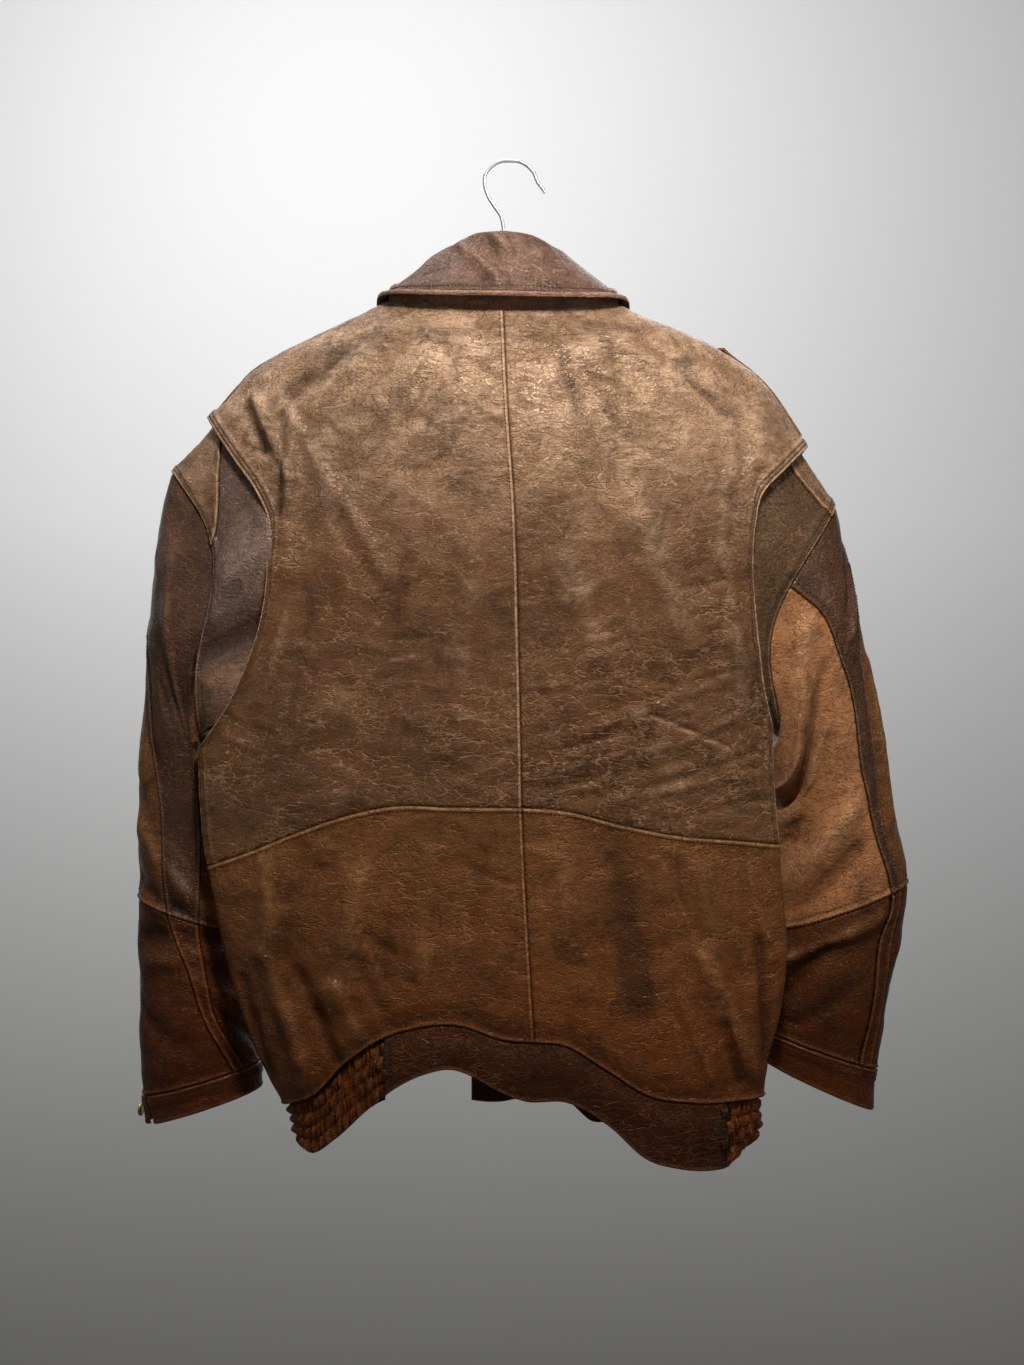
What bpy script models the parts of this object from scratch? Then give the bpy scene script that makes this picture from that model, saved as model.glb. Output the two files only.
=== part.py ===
"""A worn leather flight jacket on a wooden hanger, in metres.

The origin is where the hanger's hook bears: the inside top of its bend. +Z is up, the wearer's back faces -Y and
the wearer's right is +X. Each piece that a maker cuts and sews is an object of its own, built as a wall on a
surface that it shares with its neighbours.
"""

from math import cos, exp, hypot, pi, radians, sin

import bmesh
import bpy
import numpy as np
from mathutils import Matrix, Vector

LEATHER = 0.0020
TAPE = 0.0010
SEAM_GAP = 0.0003
CENTRE_X = -0.006
BACK, FRONT = -1, 1
LEFT, RIGHT = -1, 1

# ---------------------------------------------------------------- the body's form
# The body's outline: how far below the hook, and how far out its left and right edges are there.
OUTLINE = [
    # drop, left, right
    (0.135, 0.120, 0.100),
    (0.150, 0.149, 0.129),
    (0.160, 0.170, 0.155),
    (0.172, 0.195, 0.184),
    (0.187, 0.225, 0.211),
    (0.204, 0.250, 0.235),
    (0.226, 0.269, 0.254),
    (0.247, 0.289, 0.267),
    (0.276, 0.290, 0.283),
    (0.350, 0.290, 0.283),
    (0.450, 0.289, 0.262),
    (0.540, 0.287, 0.243),
    (0.600, 0.286, 0.244),
    (0.670, 0.278, 0.250),
    (0.757, 0.261, 0.256),
    (0.804, 0.248, 0.250),
    (0.845, 0.2335, 0.241),
    (0.873, 0.221, 0.237),
    (0.890, 0.212, 0.237),
    (0.911, 0.207, 0.239),
    (0.938, 0.200, 0.226),
]

# Where the body's side edge, back and front lie in depth, and the powers that round its section: the front is
# round over the shoulders and falls away to a sharp side edge below them, where the sleeve hangs in front of it.
DEPTH = [
    # drop, side, back, front, back_power, front_power, front_root
    (0.130, 0.000, -0.048, 0.030, 2.0, 2.0, 0.50),
    (0.160, 0.000, -0.060, 0.034, 2.0, 2.0, 0.50),
    (0.200, 0.000, -0.075, 0.040, 2.1, 2.0, 0.50),
    (0.250, -0.004, -0.085, 0.048, 2.2, 2.0, 0.52),
    (0.300, -0.020, -0.089, 0.050, 2.4, 1.8, 0.72),
    (0.350, -0.033, -0.091, 0.050, 2.6, 1.6, 0.92),
    (0.450, -0.045, -0.092, 0.050, 2.8, 1.5, 1.00),
    (0.560, -0.056, -0.091, 0.048, 2.8, 1.5, 1.00),
    (0.650, -0.060, -0.088, 0.046, 2.8, 1.5, 1.00),
    (0.750, -0.060, -0.087, 0.045, 2.8, 1.5, 1.00),
    (0.830, -0.057, -0.085, 0.045, 2.8, 1.5, 1.00),
    (0.890, -0.045, -0.080, 0.043, 2.6, 1.5, 1.00),
    (0.940, -0.036, -0.077, 0.041, 2.6, 1.5, 1.00),
]

# The main folds of the back: a ridge (or a trough, where it is negative) along a straight line.
BACK_FOLDS = [
    # x0, drop0, x1, drop1, half_width, height
    (-0.228, 0.240, -0.204, 0.310, 0.012, 0.0040),
    (-0.204, 0.310, -0.210, 0.390, 0.012, 0.0035),
    (-0.190, 0.260, -0.188, 0.370, 0.014, -0.0030),
    (0.240, 0.240, 0.216, 0.390, 0.012, 0.0045),
    (0.214, 0.250, 0.196, 0.380, 0.014, -0.0030),
    (-0.205, 0.800, -0.190, 0.870, 0.012, 0.0045),
    (-0.165, 0.780, -0.150, 0.835, 0.010, 0.0040),
    (0.222, 0.780, 0.228, 0.880, 0.010, 0.0050),
    (0.195, 0.800, 0.204, 0.870, 0.010, -0.0035),
]

# ---------------------------------------------------------------- the seams of the body, as x and drop
NECK_BACK = {
    LEFT: [(-0.006, 0.156), (-0.035, 0.1545), (-0.065, 0.150), (-0.100, 0.143)],
    RIGHT: [(-0.006, 0.156), (0.023, 0.1545), (0.055, 0.151), (0.088, 0.145)],
}
NECK_FRONT = {
    LEFT: [(-0.040, 0.196), (-0.070, 0.179), (-0.101, 0.156)],
    RIGHT: [(0.026, 0.196), (0.058, 0.179), (0.088, 0.158)],
}
# The drop at which the shoulder ridge meets the neck, the armhole and, further down, the armpit.
NECK_DROP = {LEFT: 0.135, RIGHT: 0.139}
SHOULDER_DROP = {LEFT: 0.247, RIGHT: 0.276}
ARMPIT_DROP = {LEFT: 0.560, RIGHT: 0.540}
ARMHOLE_BACK = {
    LEFT: [(-0.257, 0.292), (-0.231, 0.329), (-0.221, 0.352), (-0.222, 0.394),
           (-0.228, 0.441), (-0.243, 0.487), (-0.262, 0.525)],
    RIGHT: [(0.254, 0.304), (0.233, 0.326), (0.225, 0.357), (0.223, 0.394),
            (0.226, 0.431), (0.230, 0.469), (0.235, 0.505)],
}
ARMHOLE_FRONT = {
    LEFT: [(-0.262, 0.300), (-0.243, 0.360), (-0.236, 0.420), (-0.240, 0.485), (-0.255, 0.530)],
    RIGHT: [(0.256, 0.320), (0.237, 0.370), (0.228, 0.425), (0.225, 0.475), (0.230, 0.515)],
}
CENTRE_SEAM = [(-0.006, 0.156), (-0.002, 0.242), (0.005, 0.351), (0.008, 0.460), (0.010, 0.551), (0.011, 0.6125)]
CENTRE_SEAM_LOW = [(0.011, 0.6125), (0.013, 0.661), (0.018, 0.752), (0.0225, 0.828)]
YOKE_SEAM = {
    LEFT: [(0.011, 0.6125), (-0.056, 0.612), (-0.102, 0.611), (-0.149, 0.620), (-0.195, 0.636), (-0.242, 0.655)],
    RIGHT: [(0.011, 0.6125), (0.046, 0.615), (0.100, 0.628), (0.157, 0.639), (0.203, 0.643)],
}
YOKE_DROP = {LEFT: 0.668, RIGHT: 0.648}
# The waist seam and the hem under the back, as drops along x. The back hitches up into an arch at its middle.
WAIST_BACK = [
    (-0.210, 0.892), (-0.178, 0.877), (-0.150, 0.847), (-0.115, 0.824), (-0.082, 0.814), (-0.050, 0.812),
    (-0.0035, 0.826), (0.0225, 0.828), (0.050, 0.831), (0.086, 0.852), (0.127, 0.878), (0.170, 0.886), (0.238, 0.884),
]
HEM_BACK = [
    (-0.204, 0.932), (-0.190, 0.938), (-0.163, 0.922), (-0.133, 0.894), (-0.106, 0.871), (-0.073, 0.855),
    (-0.053, 0.852), (-0.0335, 0.8585), (-0.012, 0.871), (0.013, 0.881), (0.054, 0.883), (0.091, 0.905),
    (0.125, 0.936), (0.155, 0.946), (0.185, 0.9495), (0.210, 0.946), (0.232, 0.930),
]
WAIST_FRONT = [
    (-0.210, 0.892), (-0.165, 0.880), (-0.120, 0.863), (-0.038, 0.859), (0.010, 0.858), (0.048, 0.850),
    (0.070, 0.866), (0.094, 0.876), (0.160, 0.882), (0.238, 0.884),
]
HEM_FRONT = [
    (-0.204, 0.932), (-0.165, 0.932), (-0.120, 0.915), (-0.060, 0.911), (-0.010, 0.911), (0.030, 0.903),
    (0.048, 0.899), (0.064, 0.915), (0.080, 0.9275), (0.094, 0.9275), (0.130, 0.932), (0.190, 0.936), (0.232, 0.930),
]
WAIST_DROP = {LEFT: 0.892, RIGHT: 0.884}
FRONT_EDGE = {
    LEFT: [(-0.040, 0.196), (-0.060, 0.400), (-0.090, 0.640), (-0.120, 0.863)],
    RIGHT: [(0.026, 0.196), (0.006, 0.400), (-0.016, 0.640), (-0.038, 0.859)],
}
# Where the band's plain lengths end and its gathered ends begin, on the back and on the front.
BACK_BAND_ENDS = {LEFT: -0.115, RIGHT: 0.200}
FRONT_BAND_ENDS = {LEFT: -0.165, RIGHT: 0.160}
WAIST_TUCK = 0.005
TUCK_REACH = 0.013

# ---------------------------------------------------------------- the sleeves
# Each loop round a sleeve, from the cap seam down: its outer and inner points, the depth of its back and front,
# how far it bows towards the body and where round it, and where round it its seams are.
SLEEVE = {
    LEFT: [
        # outer_x, outer_drop, inner_x, inner_drop, back, front, bow, bow_at, seam_1, division, seam_2
        (0.3265, 0.2985, 0.2900, 0.560, -0.052, 0.048, 0.040, 0.19, -0.060, 0.180, 0.365),
        (0.3360, 0.3600, 0.2850, 0.595, -0.052, 0.055, 0.006, 0.20, -0.060, 0.140, 0.330),
        (0.3440, 0.4250, 0.2730, 0.632, -0.050, 0.058, 0.000, 0.22, -0.030, 0.140, 0.315),
        (0.3490, 0.4900, 0.2660, 0.662, -0.049, 0.059, 0.000, 0.25, 0.090, 0.205, 0.315),
        (0.3535, 0.5600, 0.2620, 0.690, -0.048, 0.059, 0.000, 0.25, 0.175, 0.247, 0.319),
        (0.3550, 0.6300, 0.2610, 0.715, -0.047, 0.058, 0.000, 0.25, 0.195, 0.255, 0.315),
        (0.3550, 0.7040, 0.2620, 0.735, -0.046, 0.055, 0.000, 0.25, 0.210, 0.261, 0.312),
        (0.3550, 0.7670, 0.2580, 0.765, -0.044, 0.051, 0.000, 0.25, 0.265, 0.292, 0.320),
        (0.3545, 0.8300, 0.2500, 0.810, -0.042, 0.042, 0.000, 0.25, 0.300, 0.318, 0.336),
        (0.3516, 0.8930, 0.2395, 0.861, -0.034, 0.032, 0.000, 0.25, 0.355, 0.375, 0.395),
        (0.3500, 0.9220, 0.2370, 0.886, -0.033, 0.030, 0.000, 0.25, 0.355, 0.375, 0.395),
    ],
    RIGHT: [
        (0.3120, 0.3300, 0.2620, 0.552, -0.050, 0.045, 0.042, 0.265, -0.060, 0.080, 0.205),
        (0.3237, 0.3807, 0.2640, 0.590, -0.051, 0.052, 0.020, 0.26, -0.010, 0.085, 0.178),
        (0.3330, 0.4290, 0.2640, 0.606, -0.050, 0.056, 0.006, 0.26, 0.060, 0.120, 0.180),
        (0.3410, 0.4770, 0.2650, 0.620, -0.049, 0.059, 0.002, 0.26, 0.095, 0.132, 0.170),
        (0.3575, 0.5545, 0.2640, 0.635, -0.048, 0.060, 0.000, 0.26, 0.125, 0.158, 0.190),
        (0.3700, 0.6220, 0.2660, 0.668, -0.047, 0.060, 0.000, 0.26, 0.140, 0.160, 0.180),
        (0.3805, 0.6900, 0.2560, 0.735, -0.046, 0.057, 0.000, 0.26, 0.100, 0.120, 0.140),
        (0.3750, 0.7380, 0.2500, 0.765, -0.044, 0.051, 0.000, 0.26, 0.110, 0.135, 0.160),
        (0.3620, 0.8060, 0.2430, 0.800, -0.042, 0.042, 0.000, 0.26, 0.090, 0.115, 0.140),
        (0.3510, 0.8680, 0.2380, 0.828, -0.034, 0.033, 0.000, 0.26, 0.090, 0.117, 0.145),
        (0.3480, 0.9080, 0.2370, 0.858, -0.033, 0.031, 0.000, 0.26, 0.090, 0.117, 0.145),
    ],
}
FRONT_SEAM = -0.20
# Near the armpit the cap seam sits further back, towards the body's side edge.
CAP_SET_BACK, CAP_SET_BACK_LEVELS = 0.019, 4
ELBOW, CUFF_SEAM, CUFF_HEM = 6, 9, 10
BOW_REACH = {LEFT: 0.11, RIGHT: 0.13}
OUTER_COLUMNS, HIND_COLUMNS, UNDER_COLUMNS = 6, 8, 7
CAP_COLUMNS = OUTER_COLUMNS + HIND_COLUMNS // 2
RING = OUTER_COLUMNS + HIND_COLUMNS + UNDER_COLUMNS
SLIT_COLUMN = 3
# Half the slit's width at the cuff's seam, middle and edge, and how far its corners draw up.
SLIT_HALF = (0.0014, 0.0025, 0.0056)
SLIT_CORNER = 0.2
# The sleeve's head starts under the body's armhole edge.
HEAD_LAP_BACK, HEAD_LAP_FRONT, HEAD_UNDER = 0.0085, -0.0030, 0.0075
HEAD_LAP_TOP = 0.0025
HEAD_DIVISION = {LEFT: 0.060, RIGHT: 0.040}
HEAD_SEAM_2 = {LEFT: 0.335, RIGHT: 0.200}
HEAD_SWELL, ARMPIT_LIFT, ARMPIT_LEAN = 0.004, 0.007, 0.9
# The head's points run ahead of the cap seam's towards the armpit, so that the leather between them isn't skewed.
HEAD_LEAD = [
    # centre, reach, amount
    (0.35, 0.11, 0.050),
    (0.66, 0.10, -0.045),
]

# ---------------------------------------------------------------- the collar
COLLAR_X = -0.0065
# From the middle of the back (0) to the front end (1): the fold's top and the leaf's edge.
COLLAR = [
    # station, fold_x, fold_y, fold_drop, edge_x, edge_y, edge_drop
    (0.000, 0.000, -0.033, 0.074, 0.000, -0.090, 0.145),
    (0.125, 0.024, -0.031, 0.075, 0.038, -0.089, 0.145),
    (0.250, 0.042, -0.023, 0.078, 0.075, -0.078, 0.143),
    (0.375, 0.052, -0.012, 0.082, 0.106, -0.047, 0.138),
    (0.500, 0.054, 0.000, 0.087, 0.121, -0.002, 0.1345),
    (0.625, 0.051, 0.015, 0.102, 0.120, 0.030, 0.150),
    (0.750, 0.044, 0.033, 0.128, 0.112, 0.052, 0.184),
    (0.875, 0.037, 0.047, 0.158, 0.097, 0.062, 0.222),
    (1.000, 0.034, 0.055, 0.186, 0.078, 0.064, 0.247),
]
COLLAR_STATIONS = 8
# The collar's left side stands higher than its right.
COLLAR_TILT = 0.017
COLLAR_ROLL = 0.0050
STAND_RISE = 0.72

# ---------------------------------------------------------------- the small pieces
ZIP_TOP, ZIP_FOOT = 0.206, 0.838
TAPE_UNDER, TAPE_OUT, TAPE_BELOW = 0.009, 0.007, 0.0012
CHAIN_WIDTH, CHAIN_DEPTH = 0.0042, 0.0026
SLIDER = (0.0100, 0.0052, 0.0130)
SLIDER_CLEAR = 0.0024
RETAINER = (0.0080, 0.0040, 0.0100)
BAIL_RADIUS, BAIL_WIRE = 0.0030, 0.0007
PULL = (0.0062, 0.0012, 0.0250)
PULL_EYE = (0.0030, 0.0036)
STRAP_LENGTH, STRAP_WIDTH, STRAP_POINT, STRAP_OFF = 0.094, 0.038, 0.014, 0.0035
# The strap's outer end stops short of the armhole, and slants with it.
STRAP_CLEAR, STRAP_SLANT = 0.004, 0.024
STRAP_CORNER_LIFT = {LEFT: 0.000, RIGHT: 0.011}
BUTTON_RADIUS, BUTTON_DEPTH, BUTTON_CLEAR = 0.0075, 0.0028, 0.0020
SNAP_RADIUS, SNAP_DEPTH, SNAP_CLEAR = 0.0060, 0.0022, 0.0035

# ---------------------------------------------------------------- the hanger
HANGER_Y = 0.0
HANGER_THICK = 0.012
# The wood's top and bottom edges, as distance from its middle and drop.
HANGER_TOP = [(0.000, 0.0775), (0.016, 0.0790), (0.028, 0.0860), (0.050, 0.1070), (0.080, 0.1310), (0.120, 0.1540),
              (0.165, 0.1745), (0.200, 0.1920), (0.216, 0.2080)]
HANGER_FOOT = [(0.222, 0.2220), (0.208, 0.2280), (0.175, 0.2080), (0.120, 0.1840), (0.060, 0.1580), (0.025, 0.1440),
               (0.000, 0.1400)]
HOOK_WIRE = 0.0017
HOOK = [
    # x, drop, seen from the back
    (0.0335, 0.0290), (0.0310, 0.0245), (0.0265, 0.0190), (0.0235, 0.0110), (0.0165, 0.0030), (0.0085, -0.0012),
    (0.0000, -0.0017), (-0.0090, -0.0012), (-0.0175, 0.0035), (-0.0235, 0.0110), (-0.0245, 0.0190),
    (-0.0215, 0.0310), (-0.0150, 0.0420), (-0.0085, 0.0520), (-0.0065, 0.0620), (-0.0062, 0.0770),
]

# ---------------------------------------------------------------- materials: colour, roughness, metallic
MATERIALS = {
    "leather_olive": ((0.150, 0.082, 0.038), 0.55, 0.0),
    "leather_brown": ((0.110, 0.052, 0.026), 0.55, 0.0),
    "leather_dark": ((0.060, 0.030, 0.020), 0.50, 0.0),
    "leather_tan": ((0.190, 0.085, 0.035), 0.55, 0.0),
    "zip_cloth": ((0.050, 0.030, 0.020), 0.90, 0.0),
    "brass": ((0.420, 0.300, 0.140), 0.40, 1.0),
    "chrome": ((0.700, 0.700, 0.720), 0.15, 1.0),
    "wood": ((0.560, 0.360, 0.190), 0.50, 0.0),
}


def curve_through(rows):
    """A smooth curve through a table's rows: it takes a value of the first column and gives the others there."""
    table = np.array(rows, float)
    keys, values = table[:, 0], table[:, 1:]
    slopes = np.gradient(values, keys, axis=0)

    def at(key):
        key = min(max(key, keys[0]), keys[-1])
        i = min(max(int(np.searchsorted(keys, key)) - 1, 0), len(keys) - 2)
        step = keys[i + 1] - keys[i]
        t = (key - keys[i]) / step
        return (
            (1 + 2 * t) * (1 - t) ** 2 * values[i]
            + t * (1 - t) ** 2 * step * slopes[i]
            + t * t * (3 - 2 * t) * values[i + 1]
            + t * t * (t - 1) * step * slopes[i + 1]
        )

    return at


def unit(way):
    return way / np.linalg.norm(way)


def path_through(points):
    """A smooth path through points, by its share of their length."""
    points = np.array(points, float)
    steps = np.linalg.norm(np.diff(points, axis=0), axis=1)
    shares = np.concatenate([[0.0], np.cumsum(steps)]) / steps.sum()
    return curve_through(np.column_stack([shares, points]))


outline = curve_through(OUTLINE)
depth = curve_through(DEPTH)
waist_back = curve_through(WAIST_BACK)
waist_front = curve_through(WAIST_FRONT)
hem_back = curve_through(HEM_BACK)
hem_front = curve_through(HEM_FRONT)
collar_row = curve_through(COLLAR)


def side_x(side, drop):
    return side * outline(drop)[0 if side == LEFT else 1]


def side_point(side, drop):
    return np.array([side_x(side, drop), drop])


def fold_height(x, drop):
    """How far the back's folds lift it at one place."""
    lift = 0.0
    for x0, drop0, x1, drop1, half_width, height in BACK_FOLDS:
        along = np.array([x1 - x0, drop1 - drop0])
        from_start = np.array([x - x0, drop - drop0])
        t = min(max(float(from_start @ along) / float(along @ along), 0.0), 1.0)
        away = float(np.linalg.norm(from_start - t * along))
        lift += height * exp(-((away / half_width) ** 2))
    return lift


def across(x, drop):
    """How far across the body a place is: 0 at its middle and 1 at its side edge."""
    left, right = outline(drop)
    middle, half = (right - left) / 2, (right + left) / 2
    return min(abs(x - middle) / half, 1.0)


def body_y(face, x, drop):
    side, back, front, back_power, front_power, front_root = depth(drop)
    share = across(x, drop)
    if face == FRONT:
        return side + (front - side) * (1 - share**front_power) ** front_root
    bulge = (1 - share**back_power) ** 0.5
    off_seam = (drop - waist_back(x)[0]) / TUCK_REACH
    tuck = WAIST_TUCK * exp(-off_seam * off_seam) * bulge
    return side + (back - side) * bulge - fold_height(x, drop) * bulge + tuck


def body_point(face, x, drop):
    return np.array([x, body_y(face, x, drop), -drop])


def body_out(face, x, drop):
    """The outward direction of the body's surface. At its side edge and shoulder ridge both faces share one."""
    step = 0.001

    def share_at(x, drop):
        left, right = outline(drop)
        return abs(x - (right - left) / 2) / ((right + left) / 2)

    rim = np.array([
        (share_at(x + step, drop) - share_at(x - step, drop)),
        0.0,
        -(share_at(x, drop + step) - share_at(x, drop - step)),
    ])
    rim /= np.linalg.norm(rim)
    share = min(share_at(x, drop), 1.0)
    if share > 0.985:
        return rim
    level = np.array([
        -(body_y(face, x + step, drop) - body_y(face, x - step, drop)),
        2 * step,
        (body_y(face, x, drop + step) - body_y(face, x, drop - step)),
    ])
    level *= face / np.linalg.norm(level)
    mixed = level + (rim - level) * share**14
    return mixed / np.linalg.norm(mixed)


def patch(top, foot, near, far):
    """A surface between four edge curves: near and far run down it at u = 0 and 1, top and foot across it."""

    def at(u, v):
        corners = (
            (1 - u) * (1 - v) * top(0) + u * (1 - v) * top(1) + (1 - u) * v * foot(0) + u * v * foot(1)
        )
        return (1 - v) * top(u) + v * foot(u) + (1 - u) * near(v) + u * far(v) - corners

    return at


def joined(first, second, split):
    """Two curves end to end, the first up to the split."""

    def at(t):
        return first(t / split) if t <= split else second((t - split) / (1 - split))

    return at


def side_run(side, start, end):
    return lambda t: side_point(side, start + (end - start) * t)


# ---------------------------------------------------------------- from a surface to a wall
# The faces of a wall's rim are split by this order of places, so that both sides of a seam are split alike.
RIM_ORDER = Vector((1.0, 0.31, 0.17))


def wall(name, material, points, outs, thickness=LEATHER, gap=SEAM_GAP / 2):
    """A closed wall on a grid of points, each with its outward direction, drawn in from its seams by the gap."""
    points = points.copy()
    inset = points.copy()
    for axis in (0, 1):
        rows = np.swapaxes(points, 0, axis)
        moved = np.swapaxes(inset, 0, axis)
        for edge, inner in ((0, 1), (-1, -2)):
            along = np.gradient(rows[edge], axis=0)
            along /= np.linalg.norm(along, axis=1, keepdims=True)
            way = rows[inner] - rows[edge]
            way -= along * np.sum(way * along, axis=1, keepdims=True)
            moved[edge] += gap * way / np.linalg.norm(way, axis=1, keepdims=True)
    columns, rows = points.shape[0] - 1, points.shape[1] - 1
    mesh = bmesh.new()
    bmesh.ops.create_grid(mesh, x_segments=columns, y_segments=rows, size=0.5)
    under = bmesh.ops.extrude_face_region(mesh, geom=mesh.faces[:])["geom"]
    for vertex in under:
        if isinstance(vertex, bmesh.types.BMVert):
            vertex.co.z = 1.0
    hidden = {vertex: vertex.co.z > 0 for vertex in mesh.verts}
    for vertex in mesh.verts:
        i, j = round((vertex.co.x + 0.5) * columns), round((vertex.co.y + 0.5) * rows)
        vertex.co = Vector(inset[i, j] - outs[i, j] * thickness * vertex.co.z)
    for face in [face for face in mesh.faces if len({hidden[vertex] for vertex in face.verts}) == 2]:
        first, last = sorted((v for v in face.verts if not hidden[v]), key=lambda v: v.co.dot(RIM_ORDER))
        under_first = [v for v in face.verts if hidden[v] and not any(edge in last.link_edges for edge in v.link_edges)]
        bmesh.utils.face_split(face, last, under_first[0])
    bmesh.ops.recalc_face_normals(mesh, faces=mesh.faces)
    if mesh.calc_volume(signed=True) < 0:
        bmesh.ops.reverse_faces(mesh, faces=mesh.faces)
    return finished(name, mesh, material)


def finished(name, mesh, material):
    data = bpy.data.meshes.new(name)
    mesh.to_mesh(data)
    mesh.free()
    obj = bpy.data.objects.new(name, data)
    collection.objects.link(obj)
    obj.data.materials.append(materials[material])
    return obj


def sampled(surface, us, vs):
    """A surface's points and outward directions over a grid."""
    pairs = [[surface(u, v) for v in vs] for u in us]
    points = np.array([[point for point, _ in row] for row in pairs])
    outs = np.array([[out for _, out in row] for row in pairs])
    return points, outs


def spaced(count, start=0.0, end=1.0):
    return list(np.linspace(start, end, count + 1))


# ---------------------------------------------------------------- the body's panels
NECK_SHARE = 0.34
NECK_COLUMNS, RIDGE_COLUMNS = 4, 6
SIDE_ROWS, LOW_ROWS = 3, 6
# Rows crowd towards the shoulder ridge, and columns towards the side edge, where the surface turns.
ARMHOLE_ROWS = (0.0, 0.03, 0.09, 0.18, 0.30, 0.44, 0.58, 0.72, 0.86, 1.0)
ACROSS = spaced(NECK_COLUMNS, 0, NECK_SHARE) + [
    NECK_SHARE + (1 - NECK_SHARE) * sin(pi / 2 * t) for t in spaced(RIDGE_COLUMNS)[1:]
]
ARMPIT_SHARE = 0.72
BAND_END_COLUMN = {(BACK, LEFT): 5, (BACK, RIGHT): 7, (FRONT, LEFT): 6, (FRONT, RIGHT): 6}


def body_wall(name, material, face, plan, us, vs):
    def surface(u, v):
        x, drop = plan(u, v)
        return body_point(face, x, drop), body_out(face, x, drop)

    return wall(name, material, *sampled(surface, us, vs))


def armhole(face, side):
    table = (ARMHOLE_BACK if face == BACK else ARMHOLE_FRONT)[side]
    ends = side_point(side, SHOULDER_DROP[side]), side_point(side, ARMPIT_DROP[side])
    return path_through([ends[0], *table, ends[1]])


def neck(face, side):
    table = (NECK_BACK if face == BACK else NECK_FRONT)[side]
    return path_through([*table, side_point(side, NECK_DROP[side])])


def waist_knots(face, side):
    """Columns of the panels above the waist seam, and the x that each has there: one meets the band's end."""
    start = (CENTRE_SEAM_LOW if face == BACK else FRONT_EDGE[side])[-1][0]
    end = (BACK_BAND_ENDS if face == BACK else FRONT_BAND_ENDS)[side]
    return [0, ACROSS[BAND_END_COLUMN[face, side]], 1], [start, end, side_x(side, WAIST_DROP[side])]


def body_panels(side, label):
    ridge = side_run(side, NECK_DROP[side], SHOULDER_DROP[side])
    armpit, yoke, waist = ARMPIT_DROP[side], YOKE_DROP[side], WAIST_DROP[side]

    top = joined(neck(BACK, side), ridge, NECK_SHARE)
    yoke_seam = path_through([*YOKE_SEAM[side], side_point(side, yoke)])
    outer = joined(armhole(BACK, side), side_run(side, armpit, yoke), ARMPIT_SHARE)
    rows = [ARMPIT_SHARE * row for row in ARMHOLE_ROWS] + spaced(SIDE_ROWS, ARMPIT_SHARE, 1)[1:]
    upper = patch(top, yoke_seam, path_through(CENTRE_SEAM), outer)
    body_wall("back_upper_" + label, "leather_olive", BACK, upper, ACROSS, rows)

    def waist_seam(u):
        x = float(np.interp(u, *waist_knots(BACK, side)))
        return np.array([x, waist_back(x)[0]])

    lower = patch(yoke_seam, waist_seam, path_through(CENTRE_SEAM_LOW), side_run(side, yoke, waist))
    body_wall("back_lower_" + label, "leather_brown", BACK, lower, ACROSS, spaced(LOW_ROWS))

    def front_waist(u):
        x = float(np.interp(u, *waist_knots(FRONT, side)))
        return np.array([x, waist_front(x)[0]])

    side_length = waist - armpit
    high = (yoke - armpit) / side_length
    rows = (
        [0.5 * row for row in ARMHOLE_ROWS]
        + spaced(SIDE_ROWS, 0.5, 0.5 + high / 2)[1:]
        + spaced(LOW_ROWS, 0.5 + high / 2, 1)[1:]
    )
    front_top = joined(neck(FRONT, side), ridge, NECK_SHARE)
    front_outer = joined(armhole(FRONT, side), side_run(side, armpit, waist), 0.5)
    front = patch(front_top, front_waist, path_through(FRONT_EDGE[side]), front_outer)
    body_wall("front_" + label, "leather_brown", FRONT, front, ACROSS, rows)


# ---------------------------------------------------------------- the waistband
BAND_ROWS = 2
PUCKER = 0.0022
PUCKERS = 11
# A gathered end is drawn in under the fuller leather above it.
ELASTIC_UNDER, ELASTIC_BELOW = 0.0035, 0.0012


def band_place(face, x, down):
    """A point of the band and its outward direction: down is 0 at the waist seam and 1 at the hem."""
    waist, hem = (waist_back, hem_back) if face == BACK else (waist_front, hem_front)
    drop = waist(x)[0] + (hem(x)[0] - waist(x)[0]) * down
    return body_point(face, x, drop), body_out(face, x, drop)


def waist_stations(face, side):
    """Where a panel's columns meet the band, from its inner edge to the band's end."""
    return [float(np.interp(u, *waist_knots(face, side))) for u in ACROSS[: BAND_END_COLUMN[face, side] + 1]]


def band_strip(name, face, xs):
    def surface(x, down):
        return band_place(face, x, down)

    wall(name, "leather_brown", *sampled(surface, xs, spaced(BAND_ROWS)))


def elastic_place(side, t, down):
    """A gathered end of the band: t runs from the back, round the side edge at a half, to the front."""
    top = WAIST_DROP[side] + ELASTIC_BELOW
    edge_drop = top + (hem_back(side)[0] - top) * down
    edge_x = side_x(side, edge_drop)
    face = BACK if t < 0.5 else FRONT
    end_x = (BACK_BAND_ENDS if face == BACK else FRONT_BAND_ENDS)[side]
    share = abs(t - 0.5) * 2
    x = edge_x + (end_x - edge_x) * (1 - cos(pi / 2 * share))
    if share == 0:
        point, out = np.array([edge_x, depth(edge_drop)[0], -edge_drop]), body_out(BACK, edge_x, edge_drop)
    else:
        waist, hem = (waist_back, hem_back) if face == BACK else (waist_front, hem_front)
        drop = waist(x)[0] + ELASTIC_BELOW + (hem(x)[0] - waist(x)[0] - ELASTIC_BELOW) * down
        point, out = body_point(face, x, drop), body_out(face, x, drop)
    under = ELASTIC_UNDER * min(1.0, (1 - share) / 0.15)
    return point - out * under, out


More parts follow.
